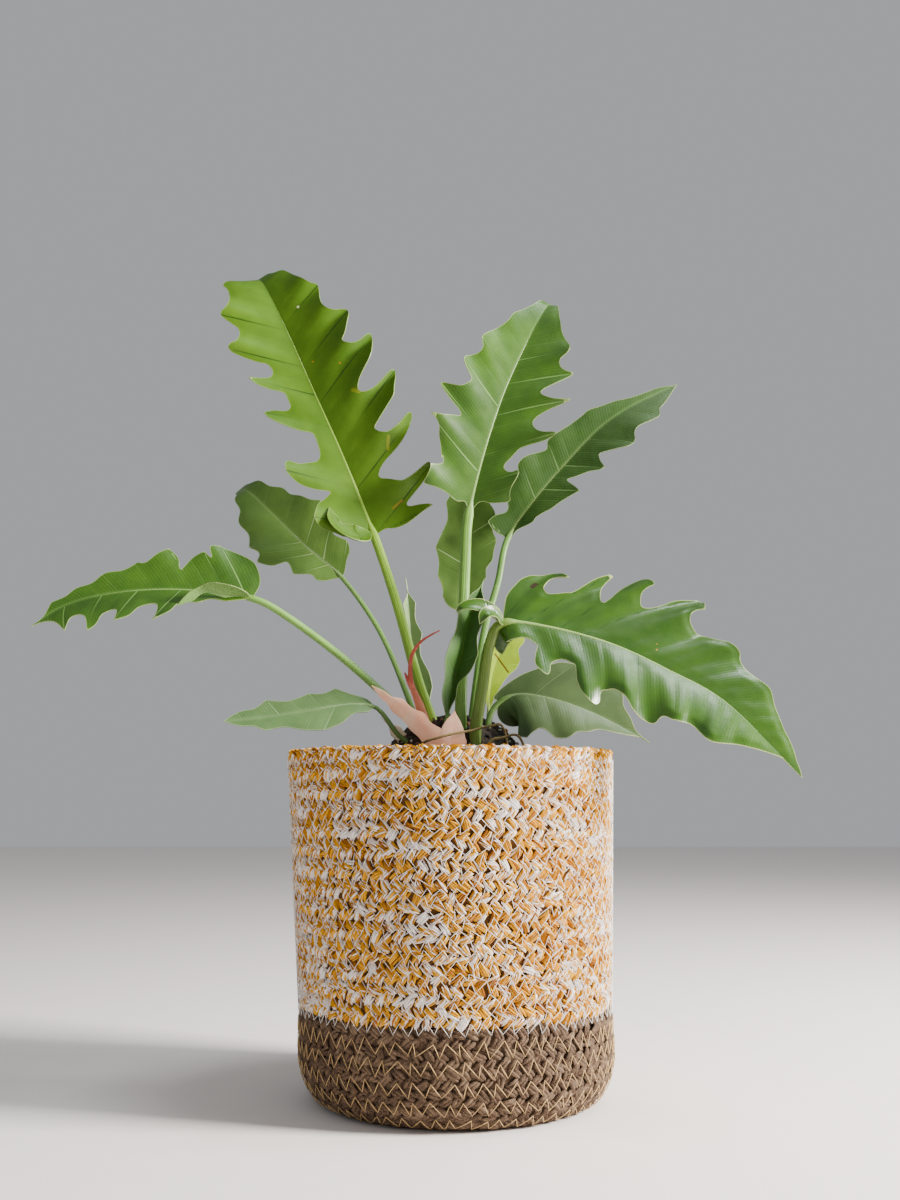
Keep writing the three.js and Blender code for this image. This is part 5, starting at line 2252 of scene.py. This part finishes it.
TALL_LEFT_RIGHT = ((385, 529), (395, 528), (402, 526), (408, 523), (412, 520), (418, 515), (425, 510),
    (430, 506.5), (433, 504.5), (430, 503.5), (420, 504.5), (411, 506), (407.5, 505.5), (407, 503),
    (410, 498.5), (416, 491), (422, 483.5), (427, 475), (430.5, 467), (431, 463), (429, 461.5),
    (425, 464), (418, 470), (410, 476), (403, 479.5), (398, 480), (388, 478.5), (381, 478), (379, 475),
    (381, 467), (386, 460), (392, 453), (398, 446), (404, 438), (409, 428), (412, 418), (412, 413.5),
    (409.5, 412), (406, 414), (400, 421), (393, 428), (387, 431), (380, 431), (376, 429), (375, 426),
    (380, 416.5), (388.5, 403), (394.5, 386), (396, 375), (395, 369.5), (393, 369), (389.5, 370.5),
    (383, 378), (374.5, 386), (366, 390.5), (360, 390.5), (357.5, 387), (359.5, 378), (363.5, 369.5),
    (369, 358.5), (371.5, 350.5), (372.5, 340.5), (371.5, 335), (369, 333), (365, 334.5), (360.5, 339),
    (352.5, 342), (345.5, 341.5), (342, 339.5), (345.5, 331), (347.5, 320), (349, 313), (347, 309.5),
    (341.5, 309), (334.5, 309), (327.5, 307.5), (322, 303.5), (319.5, 296.5), (319, 288.5), (316.5, 284),
    (308.5, 281.5), (297, 276), (286, 271), (280.5, 270.5), (272.5, 273), (264, 276))
TALL_CENTRE_LEFT = ((465.5, 502), (457, 501), (446, 492.5), (436, 487), (425, 484), (423, 482),
    (428, 474), (431, 466), (430, 463), (442, 463.5), (443, 455), (441.5, 459), (441, 446.5),
    (439, 435.5), (439, 424.5), (434, 415.5), (430.5, 412.5), (433.5, 411.5), (441.5, 414), (453, 414.5),
    (460.5, 415.5), (460, 410.5), (453, 402), (446, 392.5), (441, 385.5), (440.5, 382), (444.5, 382),
    (453, 384), (462.5, 385), (471.5, 379.5), (469.5, 373), (465.5, 364.5), (463.5, 358), (466.5, 355.5),
    (475, 354.5), (480.5, 351), (483, 345.5), (482, 337), (484.5, 333.5), (494.5, 329.5), (507, 321),
    (514, 313), (525, 308.5), (536, 303), (544.5, 299.5))
TALL_CENTRE_RIGHT = ((479, 502), (491.5, 503.5), (507, 502), (511, 499.5), (509.5, 495.5), (511.5, 487),
    (516.5, 478.5), (519, 473), (518, 469), (512.5, 471.5), (507, 471), (504, 467.5), (505.5, 463.5),
    (511, 458), (518, 450), (521, 448), (530.5, 444.5), (544.5, 440.5), (554, 435.5), (557, 433),
    (553, 431), (544.5, 431.5), (537.5, 430), (533.5, 426), (533, 422), (536, 417.5), (547, 410.5),
    (559.5, 405), (569.5, 400), (571, 398.5), (564, 398), (553, 398), (544.5, 395.5), (540.5, 392.5),
    (544.5, 388.5), (555.5, 383), (566.5, 378), (573, 374.5), (573, 372), (566.5, 370.5), (561, 366.5),
    (559.5, 362), (561, 358), (566.5, 353), (570, 348), (569.5, 344), (565.5, 338.5), (562, 331.5),
    (561, 323), (559.5, 314.5), (558, 306.5))
UPPER_RIGHT_LEFT = ((501, 535), (495, 532), (490.5, 526), (488, 521), (495, 515), (505, 512.5),
    (508, 507.5), (507, 500), (508.5, 492.5), (512.5, 485), (516, 477.5), (518, 470), (517.5, 465),
    (521, 459), (530, 454), (546, 450), (547, 445.5), (547, 441), (555, 434), (565, 427.5), (575, 421),
    (582.5, 415), (588, 410), (600, 406), (615, 401), (630, 397.5), (645, 392.5), (657.5, 388),
    (670, 386))
UPPER_RIGHT_RIGHT = ((512, 536), (517.5, 530), (527.5, 525), (534, 521), (535.5, 517.5), (545, 512),
    (551, 509), (560, 502.5), (570, 496), (580, 490.5), (574, 485.5), (568, 481.5), (567.5, 479),
    (577.5, 476), (590, 471), (600, 469.5), (605, 466), (600.5, 461), (599, 456), (600, 453), (615, 449),
    (627.5, 446), (634, 442.5), (635.5, 439), (634.5, 434), (636, 429), (640, 425), (650, 421),
    (659, 416), (660, 411), (660, 408), (665, 402.5), (671, 394))
FRONT_RIGHT_LEFT = ((503, 612), (504, 605), (506, 597), (510, 590), (515, 584), (520, 579), (530, 575),
    (541, 575), (552, 573), (560, 573), (566, 574.5), (569, 576), (566, 577.5), (556, 577), (550, 579),
    (546, 583), (544, 587.5), (546, 592), (550, 593.5), (558, 593), (565, 592), (570, 592), (575, 590),
    (582, 586), (590, 581), (597, 577.5), (604, 575), (610, 574), (613.5, 576), (611, 578.5), (606, 583),
    (602, 588), (600.5, 594), (601, 600), (604, 602), (607, 600.5), (612, 597), (620, 590), (630, 584),
    (640, 580), (645, 579), (651, 579), (654, 581), (654.5, 584.5), (650, 586), (645, 589), (642, 593),
    (640.5, 599), (641, 605), (645, 607.5), (652, 607.5), (662, 605), (671, 601.5), (680, 600),
    (690, 599.5), (697, 600), (702, 602.5), (705.5, 606), (705, 609), (699, 609.5), (693, 612),
    (690, 617), (691, 623), (694, 630), (698, 634.5), (705, 636.5), (716, 639), (728, 641.5), (735, 645),
    (739, 650), (741, 654), (740, 660), (744, 667), (752, 674.5), (760, 680), (767, 684.5), (771, 689),
    (773, 696), (775, 705), (779, 716), (784, 728), (790, 740), (794, 750), (797, 760), (800, 768))
FRONT_RIGHT_RIGHT = ((494, 632), (493, 640), (495, 648), (498, 652), (502, 655), (503.5, 653), (505, 650),
    (508, 645), (511, 641), (515, 638.5), (522, 637), (528, 638), (533, 641), (537.5, 645), (536, 650),
    (535, 655), (535, 662), (537, 666), (540, 669), (543, 672), (546.5, 674), (549, 673), (550, 669),
    (550.5, 665), (553, 661), (560, 659), (566, 660), (570, 662), (575, 664), (576, 672), (577, 680),
    (579.5, 686), (582, 691), (586, 696), (590, 700), (593, 702.5), (596, 704), (599, 702), (600, 695),
    (601, 692), (603, 690), (610, 689), (614, 689), (618, 690), (622, 693), (626, 697), (629, 702),
    (632, 708), (636, 713), (640, 717), (646, 721), (650, 723), (654, 723), (657, 721.5), (659, 718.5),
    (662, 716), (666, 716), (672, 719), (680, 721), (685, 722), (690, 724), (695, 727), (700, 732),
    (705, 737), (712, 741), (720, 743), (735, 744), (750, 747), (770, 753), (785, 758))


LEAVES = (
    Leaf("leaf_tall_left", Slot.LEAF, BRIGHT,
        stalk=((-8, 12, 262), (-9, 12, 290), (-29, 20, 349), (-48, 30, 417), (-70, 36, 483),
            (-99, 30, 556), (-127, 30, 619), (-158, 42, 690), (-184, 62, 744), (-198, 92, 758)),
        blade=4, radius=(5, 4.1), face=((0.1, -1, 0.15), (0, -1, 0.15), (0, -0.9, 0.5)), wave=2.5,
        left=Half(((5, 18), (13, 35), (23, 47), (35, 49), (45, 41), (48, 33)), TALL_LEFT_LEFT, fold=14),
        right=Half((), TALL_LEFT_RIGHT, fold=14),
        ears=(Ear(((-72, 34, 486), (-88, 24, 480), (-104, 18, 489), (-111, 21, 507)), 12,
            (0.5, -0.6, 0.6), 0.07),), spots=TALL_SPOTS, soft=1.2),
    Leaf("leaf_back_left", Slot.LEAF, COOL,
        stalk=((-24, 26, 262), (-25, 27, 292), (-39, 35, 336), (-66, 55, 398), (-103, 70, 451),
            (-137, 72, 481), (-168, 76, 512), (-195, 84, 538), (-208, 102, 545)),
        blade=4, radius=(2.8, 2.2), face=((0.1, -1, 0.2),), wave=2,
        left=Half(((7, 15), (15, 21), (24, 20), (36, 31), (46, 25), (64, 47), (68, 39), (78, 43),
            (91, 33), (106, 32), (130, 17), (148, 7)), fold=8),
        right=Half(((1, 4), (9, 15), (20, 30), (34, 26), (48, 40), (58, 34), (72, 43), (88, 31),
            (107, 25), (130, 15), (148, 6)), fold=8)),
    Leaf("leaf_far_left", Slot.LEAF, GREEN,
        stalk=((-15, -6, 262), (-17, -6, 288), (-44, -3, 320), (-92, -5, 363), (-141, -14, 399),
            (-172, -20, 415), (-217, -25, 421), (-260, -30, 421), (-300, -36, 415), (-329, -43, 404),
            (-352, -52, 386)),
        blade=5, radius=(4.1, 3.2), face=((0, -0.7, 0.7), (0, -0.75, 0.65)), wave=2,
        left=Half(((10, 6), (35, 10), (60, 17), (84, 39), (82, 19), (96, 22), (120, 37), (117, 23),
            (130, 24), (151, 38), (148, 22), (160, 17), (175, 26), (176, 12)), curl=-0.004),
        right=Half(((4, 32), (10, 39), (23, 46), (35, 49), (43, 45), (40, 34), (47, 40), (56, 34),
            (64, 21), (75, 44), (81, 38), (92, 28), (98, 30), (124, 21), (147, 13), (168, 9)), fold=22),
        ears=(Ear(((-173, -21, 416), (-190, -32, 422), (-208, -38, 422), (-224, -40, 412),
            (-233, -40, 405)), 8, (0.2, 0.6, 0.8), -0.09),)),
    Leaf("leaf_low_left", Slot.PALE_LEAF, PALE,
        stalk=((-30, 3, 262), (-34, 2, 287), (-46, -1, 299), (-57, -4, 314), (-66, -7, 322),
            (-87, -10, 324), (-122, -15, 318), (-158, -20, 312), (-193, -25, 308)),
        blade=4, radius=(2.4, 1.9), face=((0, -0.85, 0.5),), wave=1.5,
        left=Half(((5, 8), (18, 11), (31, 20), (64, 21), (96, 15), (116, 7)), fold=6),
        right=Half(((6, 5), (20, 10), (31, 17), (54, 17), (92, 17), (116, 8)), fold=6)),
    Leaf("leaf_narrow_back", Slot.PALE_LEAF, PALE_WITH_PAINTED_LIGHT,
        stalk=((-14, 38, 262), (-15, 39, 297), (-20, 42, 316), (-30, 50, 360), (-35, 54, 387),
            (-39, 58, 429), (-42, 60, 449)),
        blade=2, radius=(2.6, 2), face=((0, -1, 0.1),), wave=1,
        left=Half(((14, 7), (40, 11), (80, 10), (110, 6)), fold=24),
        right=Half(((14, 5), (40, 11), (80, 11), (110, 7)), fold=24)),
    Leaf("leaf_tall_centre", Slot.LEAF, GREEN,
        stalk=((9, -4, 262), (9, -4, 300), (11, 0, 381), (14, 15, 456), (17, 25, 500), (30, 24, 555),
            (50, 29, 618), (74, 40, 675), (93, 54, 714), (101, 74, 726)),
        blade=4, radius=(5.4, 4.6), face=((0.1, -1, 0.1), (0.1, -1, 0.1), (0, -0.9, 0.3)), wave=2.5,
        left=Half((), TALL_CENTRE_LEFT, fold=14),
        right=Half((), TALL_CENTRE_RIGHT, fold=14)),
    Leaf("leaf_upper_right", Slot.LEAF, SHADY,
        stalk=((18, 11, 262), (18, 11, 300), (30, 28, 388), (44, 40, 440), (54, 50, 484), (79, 50, 521),
            (108, 55, 556), (143, 60, 594), (176, 66, 619), (223, 77, 645)),
        blade=4, radius=(3.6, 2.8), face=((0.1, -1, 0.3), (0, -1, 0.5)), wave=2,
        left=Half((), UPPER_RIGHT_LEFT, fold=12),
        right=Half((), UPPER_RIGHT_RIGHT, fold=12)),
    Leaf("leaf_back_centre", Slot.LEAF, COOL,
        stalk=((10, 26, 262), (10, 27, 292), (13, 44, 360), (17, 60, 420), (15, 66, 470), (15, 72, 525),
            (18, 84, 590)),
        blade=3, radius=(3, 2.4), face=((0, -1, 0.1),), wave=2.5,
        left=Half(((-3, 12), (2, 20), (20, 24), (33, 28), (46, 26), (59, 29), (73, 23), (104, 19),
            (140, 13)), fold=8),
        right=Half(((4, 6), (20, 13), (37, 19), (55, 27), (66, 30), (76, 26), (96, 28), (130, 19),
            (152, 9)), fold=8)),
    Leaf("leaf_young_folded", Slot.LEAF, PAINTED_SHADE_GREEN,
        stalk=((0, -18, 262), (-2, -18, 290), (-3, -18, 308), (4, -17, 344), (10, -16, 366),
            (17, -15, 397), (30, -14, 434)),
        blade=2, radius=(2.6, 2.2), face=((0, -1, 0.15),), wave=0.5,
        left=Half(((8, 4), (36, 13), (66, 18), (92, 16), (112, 9)), fold=52),
        right=Half(((12, 2), (34, 5), (62, 18), (92, 16), (112, 8)), fold=38), quilt=0.4),
    Leaf("leaf_front_right", Slot.LEAF, GLOSSY,
        stalk=((21, -12, 262), (22, -12, 300), (28, -14, 338), (34, -17, 374), (46, -22, 393),
            (82, -30, 389), (135, -46, 372), (180, -62, 348), (223, -82, 319), (272.5, -112, 259)),
        blade=4, radius=(5.4, 4.6), face=((0.1, -0.75, 0.65),), wave=2,
        left=Half((), FRONT_RIGHT_LEFT, fold=18, slant=0.75),
        right=Half(((-4, 2),), FRONT_RIGHT_RIGHT, curl=-0.008),
        ears=(Ear(((46, -22, 394), (35, -31, 402), (22, -36, 406), (10, -37, 405), (5, -35, 400)), 8,
            (0.1, -0.9, 0.5), 0.09), Ear(((46, -25, 392), (38, -37, 399), (30, -43, 398), (25, -42, 389)),
            7, (0.1, -0.9, 0.5), 0.1)), spots=FRONT_SPOTS, quilt=1.9, pillow=11.0, soft=1.2),
    Leaf("leaf_small_back", Slot.LIME_LEAF, LIME,
        stalk=((30, 38, 262), (33, 41, 298), (35, 44, 318), (36, 46, 337), (40, 48, 360), (50, 50, 384),
            (67, 52, 405)),
        blade=2, radius=(2.2, 1.8), face=((0.1, -1, 0.2),), wave=1,
        left=Half(((14, 3), (45, 6), (70, 8), (86, 5)), fold=8),
        right=Half(((14, 4), (27, 9), (42, 15), (62, 20), (84, 13)), fold=8),
        spots=BACK_SPOTS),
    Leaf("leaf_low_right", Slot.LEAF, SATIN,
        stalk=((31, 3, 262), (32, 6, 292), (36, 14, 317), (47, 17, 330), (65, 15, 335), (98, 7, 328),
            (132, 0, 314), (172, -10, 291)),
        blade=3, radius=(3.2, 2.6), face=((0.1, -0.75, 0.65),), wave=1.5,
        left=Half(((-6, 6), (8, 12), (20, 22), (34, 33), (56, 42), (80, 38), (97, 31), (114, 12)),
            fold=18),
        right=Half(((-10, 3), (-18, 7), (-24, 13), (-25, 22), (-16, 33), (4, 43), (22, 46), (36, 48),
            (42, 41), (48, 36), (62, 40), (74, 36), (88, 23), (106, 11), (120, 5)), curl=-0.006)),
)

# The sheath glows by emission: painted light that makes it brighter than the lamps light it.
PEACH = TissueFinish("peach_sheath", srgb(255, 214, 184), srgb(250, 158, 112), srgb(206, 100, 66), 0.36,
    0.6, srgb(228, 120, 70), (262.0, 306.0), painted_glow=0.26)
DRY = TissueFinish("dry_sheath", srgb(232, 218, 194), srgb(206, 184, 150), srgb(160, 134, 100), 0.7, 0.35)
RED = TissueFinish("red_shoot", srgb(190, 74, 56), srgb(150, 44, 40), srgb(226, 130, 100), 0.4, 0.25,
    srgb(236, 150, 118), (316.0, 352.0))
ROOT = TissueFinish("aerial_root", srgb(132, 112, 62), srgb(92, 72, 42), srgb(170, 152, 104), 0.75, 0.4)

SHEATHS = (
    Sheath("sheath_large", Slot.SHEATH, PEACH,
        keel=((-9, -21, 266), (-9, -21, 284), (-24, -19, 302), (-40, -15, 317), (-56, -12, 330),
            (-69, -8, 341)),
        face=(0.35, 1, 0.35), widths=((10, 9), (30, 13), (50, 12), (72, 9), (90, 4)), curl=0.065),
    Sheath("sheath_small", Slot.SHEATH, PEACH,
        keel=((2, -36, 262), (2, -36, 282), (2, -35, 299), (4, -33, 317)),
        face=(0.05, 1, 0.1), widths=((10, 10), (26, 13), (42, 9)), curl=0.03),
    Sheath("sheath_dry", Slot.DRY_SHEATH, DRY,
        keel=((-33, 14, 262), (-34, 14, 284), (-46, 14, 300), (-62, 13, 315)),
        face=(0.3, -1, 0.4), widths=((10, 7), (28, 10), (46, 7)), curl=0.02),
)

STRANDS = (
    Strand("new_shoot", Slot.SHOOT, RED,
        path=((-20, 7, 262), (-20, 7, 298), (-24, 7, 315), (-28, 6, 327), (-34, 4, 343), (-35, 1, 357),
            (-33, -1, 369), (-26, -3, 379), (-17, -5, 385), (-9, -6, 389)),
        radii=(5.4, 5.2, 5, 4.7, 4, 2.6, 2.1, 1.6, 1.1, 0.5), spur=(((-33, 4, 339), (-37, 3, 346),
            (-40, 2, 353)), (3, 1.9, 0.5))),
    Strand("aerial_root_left", Slot.ROOT, ROOT,
        path=((-30, -34, 262), (-25, -42, 286), (-10, -46, 293), (6, -43, 297), (20, -36, 300),
            (34, -27, 304), (46, -20, 302), (52, -14, 262)),
        radii=(1.1, 1.1), rough=0.08),
    Strand("aerial_root_right", Slot.ROOT, ROOT,
        path=((26, -46, 262), (32, -48, 288), (44, -48, 293), (58, -48, 293), (68, -46, 262)),
        radii=(1.1, 1.1), rough=0.08),
)


# The studio


@dataclass(frozen=True)
class AreaLight:
    """A soft square lamp that looks at the plant.

    Its place and the length of its side are in metres, and its power is in watts.
    """

    name: str
    place: Triple
    size: float
    power: float
    tone: Colour = (1.0, 1.0, 1.0)

    def build(self) -> None:
        """Adds the lamp, turned to the plant's middle."""
        way = Vector(self.place) - Vector((0, 0, 0.35))
        bpy.ops.object.light_add(type="AREA", location=self.place,
                                 rotation=way.to_track_quat("Z", "Y").to_euler())
        lamp = bpy.context.object
        lamp.name = self.name
        lamp.data.size = self.size
        lamp.data.energy = self.power
        lamp.data.color = self.tone


@dataclass(frozen=True)
class Studio:
    """The camera, the floor, the lamps and the brightness of the surroundings."""

    lights: tuple[AreaLight, ...] = (
        AreaLight("key_light", (1.85, -0.50, 1.05), 0.5, 190, (1.0, 0.965, 0.90)),
        AreaLight("fill_light", (-1.5, -1.6, 0.9), 1.6, 1.5, (0.95, 0.98, 1.0)),
        AreaLight("top_light", (0.62, -0.12, 1.85), 0.55, 20, (0.92, 0.98, 1.0)),
    )
    sky: float = 0.42

    FLOOR = PlainFinish("studio_floor", (0.88, 0.82, 0.785), (0.85, 0.79, 0.755), 0.8, 30, 0.05)

    def build(self) -> None:
        """Builds the camera, the floor and the lights."""
        bpy.ops.object.camera_add(location=[value * MM for value in CAMERA.place],
                                  rotation=(math.pi / 2 + CAMERA.rise, 0, 0))
        camera = bpy.context.object
        camera.data.sensor_width = 36.0
        camera.data.lens = camera.data.sensor_width * CAMERA.focal / (2 * CAMERA.middle[1])
        bpy.context.scene.camera = camera
        bpy.ops.mesh.primitive_plane_add(size=12)
        floor = bpy.context.object
        floor.name = "studio_floor"
        floor.data.materials.append(self.FLOOR.material())
        floor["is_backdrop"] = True
        for light in self.lights:
            light.build()
        world = bpy.data.worlds.new("studio")
        world.use_nodes = True
        background = world.node_tree.nodes["Background"]
        background.inputs["Color"].default_value = (0.93, 0.96, 1.0, 1.0)
        background.inputs["Strength"].default_value = self.sky
        bpy.context.scene.world = world


def corners() -> list[list[float]]:
    """Returns the lowest and highest corner of the shown object as plain lists."""
    return [[float(number) for number in corner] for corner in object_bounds()]


def main() -> None:
    """Builds the whole scene."""
    logging.basicConfig(level=logging.INFO, format="%(message)s")
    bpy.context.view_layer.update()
    Studio().build()
    Basket().build()
    GrowPot().build()
    PottingMix().build()
    for piece in (*LEAVES, *SHEATHS, *STRANDS):
        piece.build()


if __name__ == "__main__":
    main()
